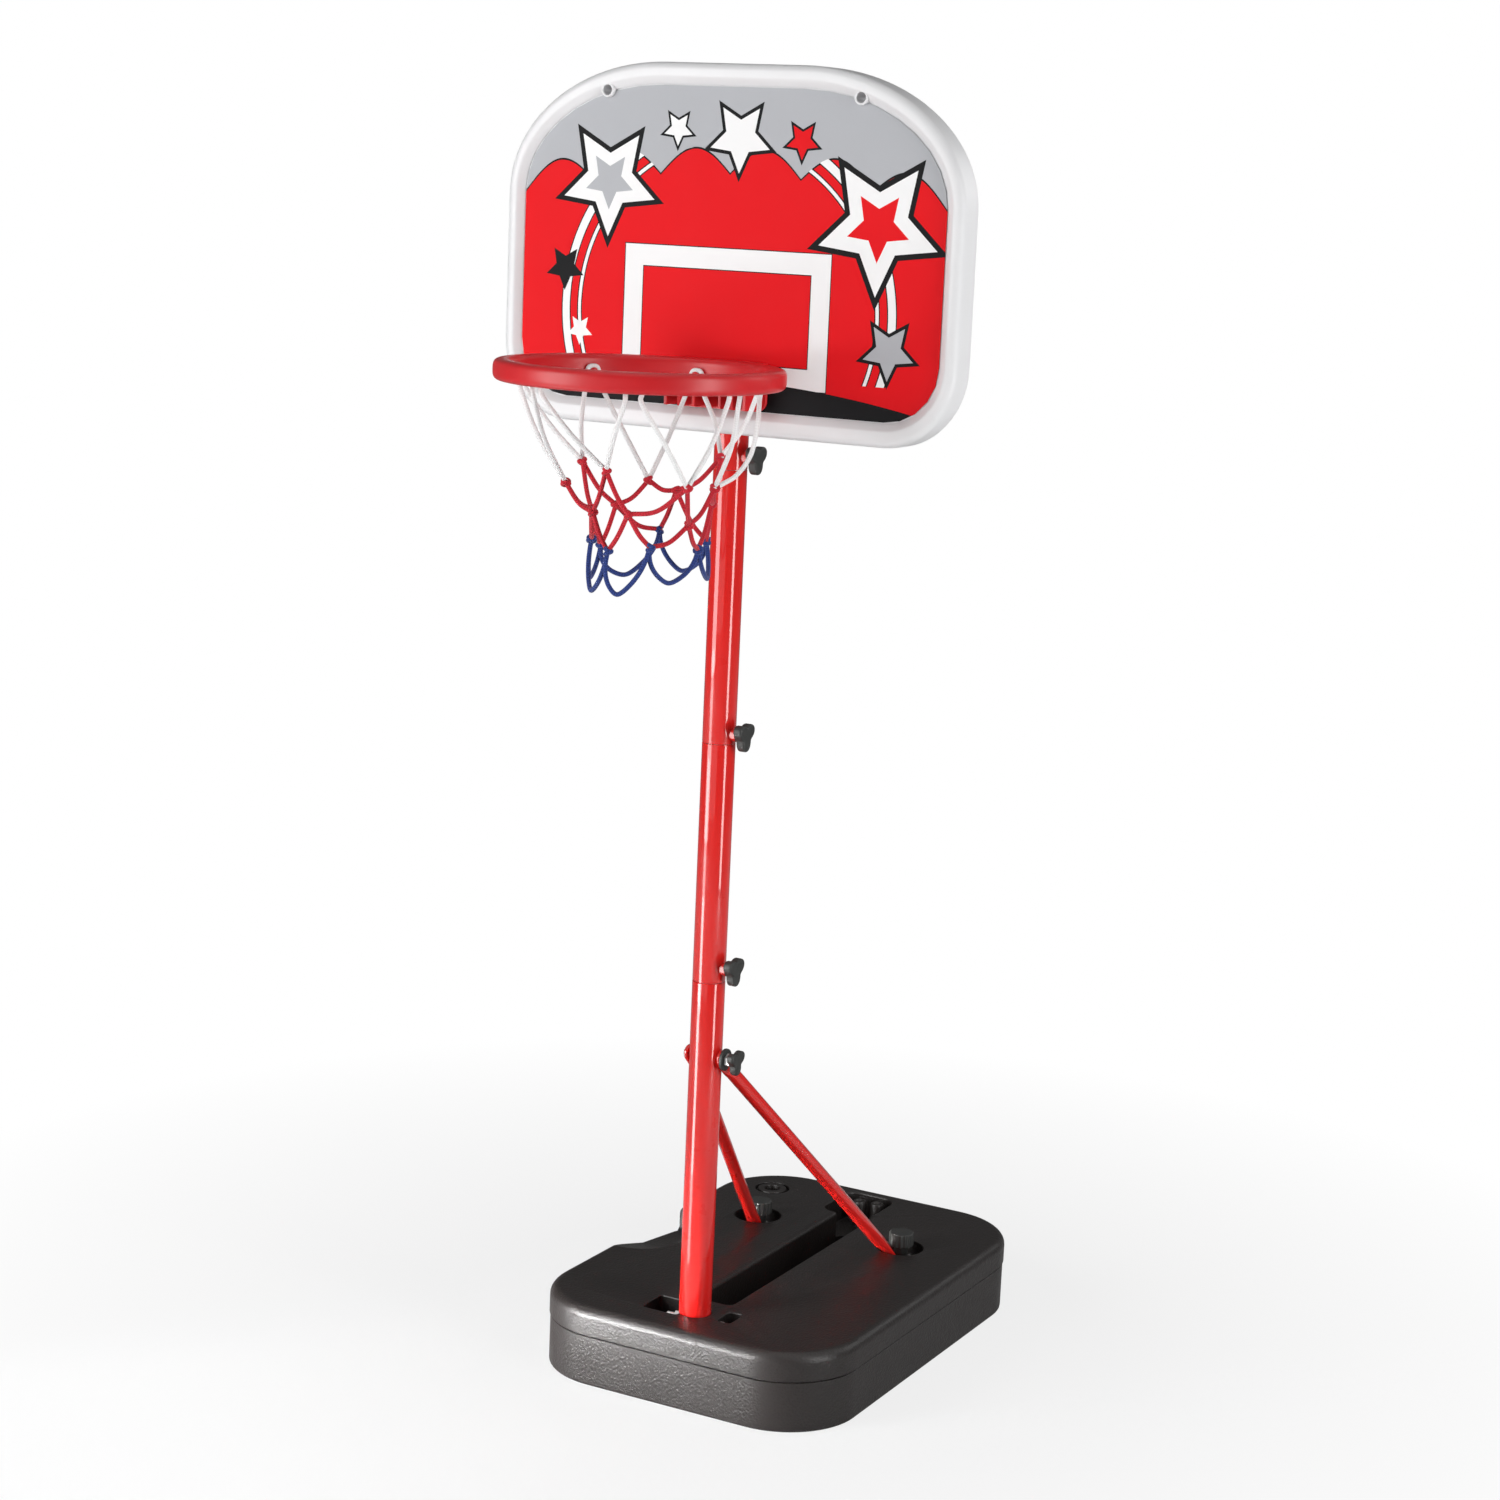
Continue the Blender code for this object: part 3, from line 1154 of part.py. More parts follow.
def hook_loop(angle):
    """The cord's way over one hook, from its left side to its right."""
    degrees = math.degrees(angle)
    radius = CORD_ON_HOOK_RADIUS
    over = HOOK_HEIGHT + HOOK_RADIUS + GAP + CORD_RADIUS
    wide = LOOP_HALF_WIDTH_DEG
    return [
        round_ring(degrees - wide * 1.15, radius - LOOP_LEAN, HOOK_HEIGHT - LOOP_TAIL_DROP),
        round_ring(degrees - wide, radius, HOOK_HEIGHT - LOOP_SIDE_DROP),
        round_ring(degrees - wide * 0.62, radius, over - LOOP_SHOULDER),
        round_ring(degrees, radius, over),
        round_ring(degrees + wide * 0.62, radius, over - LOOP_SHOULDER),
        round_ring(degrees + wide, radius, HOOK_HEIGHT - LOOP_SIDE_DROP),
        round_ring(degrees + wide * 1.15, radius - LOOP_LEAN, HOOK_HEIGHT - LOOP_TAIL_DROP),
    ]


def hanging_loop(start, end, low):
    """A loop that hangs from two knots, with a round bottom."""
    middle = (start + end) / 2
    half = (end - start) / 2
    points = []
    for i in range(7):
        across = -math.cos(math.pi * i / 6)
        depth = math.sin(math.pi * i / 6)
        points.append(middle + half * across * (1 - LOOP_PINCH * depth**4) + (low - middle) * depth)
    return points


def net_strands():
    """Every strand's points. Column i hangs from hook i, between white knots i - 1 and i."""
    white = [net_point(*place) for place in WHITE_KNOTS]
    red = [net_point(*place) for place in RED_KNOTS]
    blue = [net_point(*place) for place in BLUE_KNOTS]
    loops = [net_point(*place) for place in LOOP_ENDS]
    slack = [net_point(*place) for place in SLACK_STRAND]
    strands = []
    for i, angle in enumerate(hook_angles()):
        over = hook_loop(angle)
        before, after = white[i - 1], white[i]
        down_left = [bowed(over[0], before, WHITE_BOW), before]
        if i == 2:
            down_left = slack + [before]
        strands.append([*reversed(down_left), *over, bowed(over[-1], after, WHITE_BOW), after])
        for knot_above in (before, after):
            strands.append([knot_above, red[i]])
        for knot_below in (blue[i - 1], blue[i]):
            strands.append([red[i], knot_below])
        start, end, low = blue[i - 1], blue[i], loops[i]
        strands.append(hanging_loop(start, end, low))
    return strands, white + red + blue


def make_net(fibre):
    """One knotted net. The first strand is the piece, and the rest are fused to it."""
    strands, knots = net_strands()
    shapes = CUTTERS.children.get("net_strands") or bpy.data.collections.new("net_strands")
    CUTTERS.children.link(shapes)
    for mesh in [cord(points, CORD_RADIUS) for points in strands[1:]] + [knot(centre) for centre in knots]:
        strand = cutter(mesh)
        CUTTERS.objects.unlink(strand)
        shapes.objects.link(strand)
    net = part("net", cord(strands[0], CORD_RADIUS), fibre)
    union = net.modifiers.new("union", "BOOLEAN")
    union.operation = "UNION"
    union.operand_type = "COLLECTION"
    union.collection = shapes


def main():
    red_paint = material("red_paint", RED_PAINT, 0.25)
    tank_plastic = material("tank_plastic", DARK_PLASTIC, 0.62)
    knob_plastic = material("knob_plastic", KNOB_PLASTIC, 0.5)
    white_plastic = material("white_plastic", WHITE_PLASTIC, 0.35)
    print_ink = material("print_ink", PRINT_RED, 0.4)
    ring_plastic = material("ring_plastic", RING_RED, 0.2)
    zinc = material("zinc", ZINC, 0.35, 1.0)
    net_fibre = material("net_fibre", NET_WHITE, 0.8)
    rubber = material("rubber", KNOB_PLASTIC, 0.8)

    make_base(tank_plastic)
    make_fill_cap(tank_plastic, rubber)
    make_pole(red_paint, zinc, knob_plastic)
    make_pole_bolt(zinc)
    for name, side in (("left_brace", -1), ("right_brace", 1)):
        make_brace(name, side, red_paint)
    make_brace_bolt(zinc, knob_plastic)
    for label, side in (("left", -1), ("right", 1)):
        make_foot_fixing(label, side, zinc, knob_plastic)
    make_backboard(white_plastic)
    make_print(print_ink)
    make_saddles(zinc)
    make_ring(ring_plastic)
    make_ring_screws(zinc)
    make_net(net_fibre)


main()
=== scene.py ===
"""The looks of the adjustable basketball stand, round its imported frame.

Metres, +Z up. The pole's axis is the Z axis, the floor is z = 0 and the ring points along -Y.
"""

import json
import math

import bmesh
import bpy
from mathutils import Matrix, Vector


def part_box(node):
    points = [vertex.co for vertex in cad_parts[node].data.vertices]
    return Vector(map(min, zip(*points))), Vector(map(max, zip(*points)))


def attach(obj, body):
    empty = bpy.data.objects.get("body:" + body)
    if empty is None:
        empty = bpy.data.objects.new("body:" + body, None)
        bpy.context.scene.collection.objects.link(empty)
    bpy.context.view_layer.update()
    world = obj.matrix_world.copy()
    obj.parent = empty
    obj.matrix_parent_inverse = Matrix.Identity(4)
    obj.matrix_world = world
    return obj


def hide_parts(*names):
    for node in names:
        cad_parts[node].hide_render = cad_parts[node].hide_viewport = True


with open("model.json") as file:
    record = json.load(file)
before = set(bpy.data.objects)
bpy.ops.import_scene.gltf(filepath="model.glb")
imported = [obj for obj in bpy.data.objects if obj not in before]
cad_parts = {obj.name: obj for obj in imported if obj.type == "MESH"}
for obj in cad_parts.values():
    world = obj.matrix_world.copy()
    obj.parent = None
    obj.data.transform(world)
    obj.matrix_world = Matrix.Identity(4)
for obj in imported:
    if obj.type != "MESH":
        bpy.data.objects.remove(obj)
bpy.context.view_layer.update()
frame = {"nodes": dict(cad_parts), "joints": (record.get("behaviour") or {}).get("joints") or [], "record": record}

# Camera
CAMERA_PLACE = Vector((1.2000, -2.1608, 1.0375))
CAMERA_YAW = math.radians(28.44)
CAMERA_TILT = math.radians(10.84)
CAMERA_ROLL = math.radians(2.52)
CAMERA_LENS = 72.67

# Studio
FLOOR_REACH = 30.0
FLOOR_CENTRE_Y = 0.16
FLOOR_GLOW = 0.78
FLOOR_FADE = (0.30, 0.95)
WORLD_LIGHT = 0.12
CEILING = (0.68, 0.95)

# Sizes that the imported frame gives
TANK_LOW, TANK_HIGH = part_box("base_tank")
BOARD_LOW, BOARD_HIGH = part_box("backboard")
PRINT_LOW, PRINT_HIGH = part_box("print_sheet")
CAP_LOW, CAP_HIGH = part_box("fill_cap")
POLE_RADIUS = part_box("lower_pole")[1].x

# The gap that touching pieces keep
SEAT_GAP = 0.0003

# Base tank
TANK_CORNER = 0.070
TANK_TOP_ROUND = 0.009
TANK_FOOT_ROUND = 0.003
PARTING_HEIGHT = 0.045
PARTING_STEP = 0.0008
PARTING_GROOVE_HALF = 0.0006
PARTING_GROOVE_DEPTH = 0.0026
PARTING_EDGE = 0.0004
WELL_X = 0.0745
WELL_Y = 0.2485
FOOT_BOLT_Y = 0.2515
FILL_PLACE = ((CAP_LOW.x + CAP_HIGH.x) / 2, (CAP_LOW.y + CAP_HIGH.y) / 2)
POCKET_STUDS = ((-0.0155, 0.3455), (0.0020, 0.3475))
POCKET_STUD_RADIUS = 0.0065
POCKET_STUD_TOP = 0.0685

# Hollows of the tank
RIM_FLARE = 0.0022
FLOOR_FILLET = 0.0022
ABOVE_TOP = 0.006

# Square ones: left, right, front, rear, corner radius, floor, and a flare and fillet of their own
CHANNEL = (-0.0170, 0.0170, 0.033, 0.308, 0.006, 0.020, 0.0045)
POCKET = (-0.035, 0.0155, 0.300, 0.362, 0.014, 0.044)
LEFT_RECESS = (-0.044, -0.010, -0.015, 0.0175, 0.003, 0.052, 0.0012, 0.0010)
RIGHT_RECESS = (0.025, 0.038, -0.0068, 0.0175, 0.003, 0.052, 0.0012, 0.0010)

# Round ones: radius, floor, and a flare and fillet of their own
SOCKET_RADIUS = POLE_RADIUS + SEAT_GAP
SOCKET = (SOCKET_RADIUS, 0.012, 0.0006, 0.001)
FILL_RECESS = (0.0165, 0.0655, 0.0010, 0.0006)
WELL = (0.0220, 0.0545, 0.0010)

# Straight holes: radius, low end and high end
FILL_HOLE = (0.0102, 0.050, 0.080)
INSERT_HOLE = (0.0058, 0.0335, 0.060)
STEM_GAP = (SOCKET_RADIUS, BOARD_LOW.z - 0.01, 1.044)

# Hand-hold: left, right, front, rear and corner radius, and its depth at three places along Y
HANDHOLD = (-0.300, -0.099, 0.100, 0.229, 0.042)
HANDHOLD_DEPTHS = ((0.100, 0.0015), (0.161, 0.0175), (0.229, 0.0250))
HANDHOLD_RIM = 0.003
HANDHOLD_FILLET = 0.005

# Cap
CAP_GRIP_RADIUS = 0.0075
CAP_GRIP_DEPTH = 0.0080
CAP_PLUG_RADIUS = 0.0097
CAP_BAR_HALF = 0.0012

# Pole
POLE_WALL = 0.0012
POLE_END_ROUND = 0.0005

# Knobs
CLAMP_KNOB_RADIUS = 0.0135
BRACE_KNOB_RADIUS = 0.0120
KNOB_LOBES = 3
KNOB_LOBE_DEPTH = 0.0058
KNOB_EDGE_ROUND = 0.0020
KNOB_HUB_RADIUS = 0.006
KNOB_HUB_LENGTH = 0.0017
FOOT_KNOB_RADIUS = 0.0115
FOOT_KNOB_FLUTES = 16
FOOT_KNOB_FLUTE_DEPTH = 0.0009
FOOT_KNOB_ROUND = 0.0014
FOOT_KNOB_HUB = 0.0120
FOOT_KNOB_HUB_RADIUS = 0.0062

# Board
PRINT_HALF_WIDTH = 0.193
PRINT_BOTTOM = 0.8465
PRINT_TOP = 1.102
TOP_CORNER_WIDTH = 0.130
TOP_CORNER_HEIGHT = 0.090
BOTTOM_CORNER = 0.046
RIM_SIDE = 0.0155
RIM_TOP = 0.0175
RIM_BOTTOM = 0.0195
RIM_LIP = 0.0055
RIM_ROUND = 0.006
BOARD_WALL = 0.003
PANEL_THICKNESS = 0.0024
PANEL_FRONT = PRINT_HIGH.y + SEAT_GAP
PANEL_BACK = PANEL_FRONT + PANEL_THICKNESS
HANG_HOLES = (-0.115, 0.115)
HANG_HOLE_Z = 1.096
HANG_HOLE_RADIUS = 0.0042
HANG_HOLE_CLEAR = 0.0002
HANG_BOSS_RADIUS = 0.0058
HANG_BOSS_SINK = 0.0006
HANG_BOSS_BACK = 0.014
BOARD_RIB = 0.0024
BOARD_RIB_BACK = -0.006
BOARD_RIB_X = 0.098
BOARD_RIB_HEIGHTS = (0.95202, 1.0601)
INTO_PANEL = 0.001
SADDLE_HEIGHTS = (0.90808, 1.00491)
SADDLE_WIDTH = 0.014
SADDLE_SCREW_X = 0.0245
SADDLE_SCREW_GAP = 0.0018
SADDLE_SEAT = -0.0040
SEAT_BOSS_RADIUS = 0.005
CRADLE_HALF_WIDTH = 0.012
CRADLE_FRONT = -0.0085

# Ring and bracket
RING_CENTRE = Vector((0, -0.1492, 0.8798))
RING_OUTER_RADIUS = 0.1132
RING_SECTION_WIDTH = 0.016
RING_SECTION_HEIGHT = 0.0165
RING_SQUARENESS = 0.62
HOOP_RADIUS = RING_OUTER_RADIUS - RING_SECTION_WIDTH / 2
BRACKET_BACK = PRINT_LOW.y - SEAT_GAP
BRACKET_HALF_WIDTH = 0.043
BRACKET_BOTTOM = 0.847
BRACKET_TOP = 0.8865
BRACKET_PLATE = 0.003
BRACKET_EDGE = 0.0005
BRACKET_CORNER = 0.009
BRACKET_RIBS = 7
BRACKET_RIB = 0.0022
BRACKET_RIB_REACH = 0.965
BRACKET_RIB_LIFT = 0.002
OUTER_RIB_INSET = BRACKET_CORNER * 0.75
BRACKET_BOSS_RADIUS = 0.0038
BRACKET_BOSS_LENGTH = 0.012
BRACKET_BOSS_X = 0.018
BRACKET_BOSS_Z = 0.866
COLUMNS = 7
FIRST_HOOK_DEG = 298.3
HOOK_HEIGHT = 0.8750
HOOK_RADIUS = 0.0015
HOOK_HEAD_RADIUS = 0.0028
CORD_ON_HOOK_RADIUS = 0.0952

# White knots, red knots, blue knots and loop ends: degrees round the ring, radius and height in mm
NET_COLUMNS = (
    ((331, 77, 800), (295, 52, 777), (315, 50, 752), (288, 50, 715)),
    ((15, 63, 796), (346, 58, 769), (13, 52, 748), (341, 43, 723)),
    ((58, 74, 815), (43, 61, 781), (60, 65, 749), (40, 59, 722)),
    ((110, 53, 793), (88, 59, 786), (103, 66, 753), (84, 64, 722)),
    ((168, 58, 807), (139, 49, 773), (157, 44, 742), (130, 32, 720)),
    ((221, 55, 795), (192, 36, 773), (214, 33, 751), (190, 36, 719)),
    ((275, 53, 809), (252, 43, 775), (276, 47, 747), (248, 40, 714)),
)

# Net
SLACK_COLUMN = 2
SLACK_STRAND = ((27, 92, 846), (28, 88, 822), (25, 78, 806), (20, 68, 799))
CORD_RADIUS = 0.0019
LOOP_HALF_WIDTH_DEG = 3.6
WHITE_BOW = 0.004
RED_SAG = 0.16
LOOP_PINCH = 0.35
KNOT_LIFT = 0.0011

# Braid of the cord
BRAID_PITCH = 0.0042
BRAID_STRANDS = 4

# Print, with its heights from the middle of the sheet
PRINT_MIDDLE = (PRINT_BOTTOM + PRINT_TOP) / 2
PRINT_LINE = 0.0010
SCALLOP_WIDTH = 0.064
SCALLOP_DEPTH = 0.020
CROWN_HEIGHT = 0.060
CROWN_FALL = -0.55
CROWN_LINE = 0.0016
COURT_ARCS = ((0.150, 0.0034), (0.137, 0.0014))
COURT_ARC_DROP = 0.052
COURT_ARC_FOOT = -0.100
TARGET_HEIGHT = 0.9206 - PRINT_MIDDLE
TARGET_OUTSIDE = (0.0943, 0.0540)
TARGET_INSIDE = (0.0774, 0.0372)
TARGET_LINE = 0.0008
FOOT_BAND_FALL = -0.56
FOOT_BAND_HEIGHT = 0.1035
STAR_TURN = 2 * math.pi / 5
STAR_CORE = 0.52

# Turns of a shape that is made along its own Z
ALONG_X = Matrix.Rotation(math.pi / 2, 4, "Y")
ALONG_Y = Matrix.Rotation(-math.pi / 2, 4, "X")


# Node expressions

def math_node(operation, swapped=False):
    """A method of Wire that adds a Math node."""

    def method(self, *others):
        inputs = [*others, self] if swapped else [self, *others]
        return self.nodes.node("ShaderNodeMath", inputs, operation=operation)["Value"]

    return method


class Wire:
    """A node socket whose arithmetic adds Math nodes."""

    def __init__(self, nodes, socket):
        self.nodes = nodes
        self.socket = socket

    __add__ = math_node("ADD")
    __radd__ = __add__
    __sub__ = math_node("SUBTRACT")
    __rsub__ = math_node("SUBTRACT", swapped=True)
    __mul__ = math_node("MULTIPLY")
    __rmul__ = __mul__
    __truediv__ = math_node("DIVIDE")
    __rtruediv__ = math_node("DIVIDE", swapped=True)
    __abs__ = math_node("ABSOLUTE")
    __lt__ = math_node("LESS_THAN")
    __gt__ = math_node("GREATER_THAN")
    sine = math_node("SINE")
    cosine = math_node("COSINE")
    root = math_node("SQRT")
    fraction = math_node("FRACT")
    most = math_node("MAXIMUM")
    angle_to = math_node("ARCTAN2")

    def clamped(self):
        return self.nodes.node("ShaderNodeClamp", [self, 0.0, 1.0])["Result"]

    def ramp(self, low, high):
        """0 up to low, 1 from high on and straight in between."""
        return ((self - low) / (high - low)).clamped()


class Nodes:
    """A node tree that gets its nodes one by one."""

    def __init__(self, tree):
        self.tree = tree

    def node(self, kind, inputs=(), **settings):
        """Adds a node. Inputs are values or wires, by place in a list or by name in a dict.

        Gives a wire for each output, by its name and by its place.
        """
        made = self.tree.nodes.new(kind)
        for key, value in settings.items():
            setattr(made, key, value)
        for key, value in inputs.items() if isinstance(inputs, dict) else enumerate(inputs):
            self.feed(made.inputs[key], value)
        return {key: Wire(self, output) for i, output in enumerate(made.outputs) for key in (i, output.name)}

    def feed(self, socket, value):
        if isinstance(value, Wire):
            self.tree.links.new(value.socket, socket)
        else:
            socket.default_value = value

    def axes(self, vector):
        split = self.node("ShaderNodeSeparateXYZ", [vector])
        return split["X"], split["Y"], split["Z"]


class Paint(Nodes):
    """A material with a Principled shader at its end and its patterns on Object coordinates."""

    def __init__(self, name, **constants):
        self.material = bpy.data.materials.new(name)
        self.material.use_nodes = True
        super().__init__(self.material.node_tree)
        self.shader = self.tree.nodes["Principled BSDF"]
        self.place = self.node("ShaderNodeTexCoord")["Object"]
        for socket, value in constants.items():
            self.set(socket.replace("_", " "), value)

    def set(self, name, value):
        self.feed(self.shader.inputs[name], value)

    def noise(self, scale, detail=3.0, roughness=0.5):
        inputs = {"Vector": self.place, "Scale": scale, "Detail": detail, "Roughness": roughness}
        return self.node("ShaderNodeTexNoise", inputs)["Fac"]

    def blend(self, factor, low, high):
        """A mix of two colours."""
        low, high = (ink if isinstance(ink, Wire) else (*ink, 1.0) for ink in (low, high))
        return self.node("ShaderNodeMix", {0: factor, 6: low, 7: high}, data_type="RGBA")[2]

    def finish(self, colour, roughness, relief, depth, strength):
        """Gives the material, with its colour, its roughness and a relief as a bump."""
        self.set("Base Color", colour)
        self.set("Roughness", roughness)
        bump = self.node("ShaderNodeBump", {"Strength": strength, "Distance": depth, "Height": relief})
        self.set("Normal", bump["Normal"])
        return self.material


# Materials

def gloss_red_paint():
    """Sprayed enamel on steel tube: deep gloss with a faint orange peel."""
    coat = {"Coat_Weight": 1.0, "Coat_Roughness": 0.05, "Coat_IOR": 1.6}
    paint = Paint("gloss_red_paint", **coat, Specular_IOR_Level=0.1)
    colour = paint.blend(paint.noise(9.0, 2.0), (0.66, 0.011, 0.009), (0.78, 0.018, 0.014))
    peel = paint.noise(420.0, 2.0) * 0.6 + paint.noise(1400.0, 1.0) * 0.4
    return paint.finish(colour, 0.24 + paint.noise(60.0, 2.0) * 0.10, peel, 0.00004, 0.4)


def pebbled_tank_plastic():
    """Blow-moulded plastic, a little cloudy, with a fine pebbled skin and painted shade on it: darker in its
    dimples, paler on its ridges.
    """
    paint = Paint("pebbled_tank_plastic", Specular_IOR_Level=0.48)
    cloud = paint.noise(12.0, 4.0, 0.6)
    pebble = paint.node("ShaderNodeTexVoronoi", {"Vector": paint.place, "Scale": 480.0})["Distance"]
    fine = paint.noise(1100.0, 2.0)
    blotch = paint.noise(160.0, 3.0, 0.7)
    colour = paint.blend(cloud, (0.0060, 0.0042, 0.0036), (0.0125, 0.0092, 0.0084))
    # Painted shade: the colour follows the pebbles' relief, darker in their dimples and paler on their ridges
    colour = paint.blend(pebble.ramp(0.1, 0.9) * 0.35, colour, (0.026, 0.021, 0.020))
    relief = pebble.ramp(0.0, 0.8) * 0.5 + fine * 0.2 + blotch * 0.9
    return paint.finish(colour, 0.33 + cloud * 0.10 + fine * 0.06, relief, 0.00045, 0.8)


def knob_plastic():
    """Matte moulded plastic with a fine spark-eroded grain."""
    paint = Paint("grained_knob_plastic", Specular_IOR_Level=0.5)
    cloud = paint.noise(90.0)
    colour = paint.blend(cloud, (0.020, 0.021, 0.020), (0.036, 0.037, 0.035))
    return paint.finish(colour, 0.44 + cloud * 0.14, paint.noise(2200.0, 2.0), 0.00008, 0.6)


def white_board_plastic():
    """White injection-moulded plastic, a little cloudy in its sheen."""
    paint = Paint("white_board_plastic", Specular_IOR_Level=0.5)
    colour = paint.blend(paint.noise(7.0), (0.72, 0.72, 0.73), (0.79, 0.79, 0.80))
    return paint.finish(colour, 0.30 + paint.noise(35.0) * 0.14, paint.noise(260.0), 0.00005, 0.5)


def ring_plastic():
    """Red moulded plastic under a thin soft gloss."""
    paint = Paint("gloss_ring_plastic", Coat_Weight=0.3, Coat_Roughness=0.30, Specular_IOR_Level=0.3)
    colour = paint.blend(paint.noise(14.0), (0.52, 0.010, 0.014), (0.66, 0.017, 0.023))
    return paint.finish(colour, 0.34 + paint.noise(80.0, 2.0) * 0.12, paint.noise(300.0, 2.0), 0.00006, 0.5)


def zinc_plate():
    """Bright zinc on steel, with the faint cloud of the plating bath."""
    paint = Paint("bright_zinc_plate", Metallic=0.65)
    cloud = paint.noise(160.0, 4.0)
    colour = paint.blend(cloud, (0.66, 0.66, 0.65), (0.84, 0.84, 0.83))
    return paint.finish(colour, 0.26 + cloud * 0.2, paint.noise(900.0, 2.0), 0.00005, 0.5)


def black_rubber():
    paint = Paint("black_rubber", Specular_IOR_Level=0.35)
    colour = paint.blend(paint.noise(120.0), (0.016, 0.016, 0.016), (0.030, 0.030, 0.029))
    return paint.finish(colour, 0.68 + paint.noise(400.0) * 0.15, paint.noise(1200.0, 2.0), 0.00008, 0.5)


def braided_cord(name, dark, light):
    """Braided cord, with painted shade in the braid's grooves. The braid follows the cord's own UV map: u round
    it, v along it in metres.
    """
    paint = Paint(name, Sheen_Weight=0.25, Sheen_Roughness=0.5, Specular_IOR_Level=0.3)
    round_cord, along, _ = paint.axes(paint.node("ShaderNodeUVMap", uv_map="cord")["UV"])
    turn = round_cord * 2 * math.pi
    wind = along * (2 * math.pi / BRAID_PITCH)
    one_way = (turn * BRAID_STRANDS + wind).sine()
    other_way = (turn * BRAID_STRANDS - wind).sine()
    braid = (one_way * other_way) * 0.5 + 0.5
    fibre = paint.noise(2600.0, 2.0)
    # Painted shade: the colour follows the braid's relief, dark in its grooves and light on its strands, with the
    # fibre's random tone on top
    colour = paint.blend((braid * 0.7 + fibre * 0.3).clamped(), dark, light)
    return paint.finish(colour, 0.72 + fibre * 0.2, braid * 0.75 + fibre * 0.25, 0.00018, 0.6)


def star_edge(u, v):
    """How far a five-pointed star of size 1 reaches in the direction of (u, v)."""
    from_notch = abs((u.angle_to(v) / STAR_TURN + 10.5).fraction() - 0.5) * STAR_TURN
    from_tip = math.pi / 5 - from_notch

    # The straight line from a tip to a notch, as a distance from the middle
    return 0.42 / (from_tip.sine() * 0.86 + from_tip.cosine() * 0.40)


def printed_face():
    """The printed sheet: court lines, a target, a grey crown and stars, in four flat inks."""
    paint = Paint("printed_face", Specular_IOR_Level=0.06)
    x, _, z = paint.axes(paint.place)
    h = z - PRINT_MIDDLE
    red = (0.79, 0.006, 0.011)
    grey = (0.465, 0.475, 0.500)
    white = (0.92, 0.92, 0.92)
    black = (0.010, 0.010, 0.011)

    def inside_box(u, v, half_u, half_v):
        return (abs(u) < half_u) * (abs(v) < half_v)

    # Grey crown with a scalloped lower edge, outlined in black
    scallop = abs((x * (math.pi / SCALLOP_WIDTH)).sine()) * SCALLOP_DEPTH
    crown_edge = scallop + CROWN_HEIGHT + (x * x) * CROWN_FALL
    colour = paint.blend(h > crown_edge - CROWN_LINE, red, black)
    colour = paint.blend(h > crown_edge, colour, grey)

    # Two white court arcs with black edges
    arc_h = h + COURT_ARC_DROP
    for radius, half_width in COURT_ARCS:
        for width, ink in ((half_width + PRINT_LINE, black), (half_width, white)):
            band = abs((x * x + arc_h * arc_h).root() - radius) < width
            colour = paint.blend(band * (h > COURT_ARC_FOOT) * (crown_edge > h), colour, ink)

    # Stars: the place, the size, the outline's width, the ink and the inner star's ink
    stars = (
        (-0.112, 0.050, 0.043, 0.0045, white, grey),
        (0.134, 0.024, 0.052, 0.0050, white, red),
        (0.008, 0.088, 0.027, 0.0032, white, white),
        (-0.049, 0.093, 0.013, 0.0020, white, white),
        (0.064, 0.087, 0.014, 0.0020, red, red),
        (-0.152, -0.022, 0.018, 0.0, black, black),
        (-0.136, -0.072, 0.012, 0.0, white, white),
        (0.148, -0.072, 0.022, 0.0030, grey, grey),
    )
    for star_x, star_h, size, outline, ink, core in stars:
        u, v = x - star_x, h - star_h
        reach = (u * u + v * v).root()
        edge = star_edge(u, v)
        for part_size, part_ink in ((size + outline * 2, black), (size, ink), (size * STAR_CORE, core)):
            colour = paint.blend(reach < edge * part_size, colour, part_ink)

    # Target rectangle with a black line on both sides
    target_h = h - TARGET_HEIGHT
    for line, ink in ((TARGET_LINE, black), (0, white)):
        outside = inside_box(x, target_h, *(size + line for size in TARGET_OUTSIDE))
        inside = inside_box(x, target_h, *(size - line for size in TARGET_INSIDE))
        colour = paint.blend(outside * (1 - inside), colour, ink)

    # Black foot band, highest in the middle
    colour = paint.blend(h < (x * x) * FOOT_BAND_FALL - FOOT_BAND_HEIGHT, colour, black)
    return paint.finish(colour, 0.42 + paint.noise(40.0) * 0.10, paint.noise(500.0, 2.0), 0.00003, 0.4)


# Finishes: a material and its slot
RED_PAINT = (gloss_red_paint(), "red_paint")
TANK_PLASTIC = (pebbled_tank_plastic(), "tank_plastic")
KNOB_PLASTIC = (knob_plastic(), "knob_plastic")
WHITE_PLASTIC = (white_board_plastic(), "white_plastic")
RING_PLASTIC = (ring_plastic(), "ring_plastic")
ZINC = (zinc_plate(), "zinc")
RUBBER = (black_rubber(), "rubber")
# Each cord's two colours: the darker one for the painted shade in the braid's grooves, the lighter one for its
# strands
WHITE_CORD = (braided_cord("white_braid", (0.76, 0.76, 0.76), (0.93, 0.93, 0.93)), "net_fibre")
RED_CORD = (braided_cord("red_braid", (0.40, 0.006, 0.014), (0.66, 0.014, 0.034)), "net_fibre")
BLUE_CORD = (braided_cord("blue_braid", (0.008, 0.020, 0.105), (0.024, 0.060, 0.290)), "net_fibre")
PRINTED_FACE = printed_face()


# Outlines

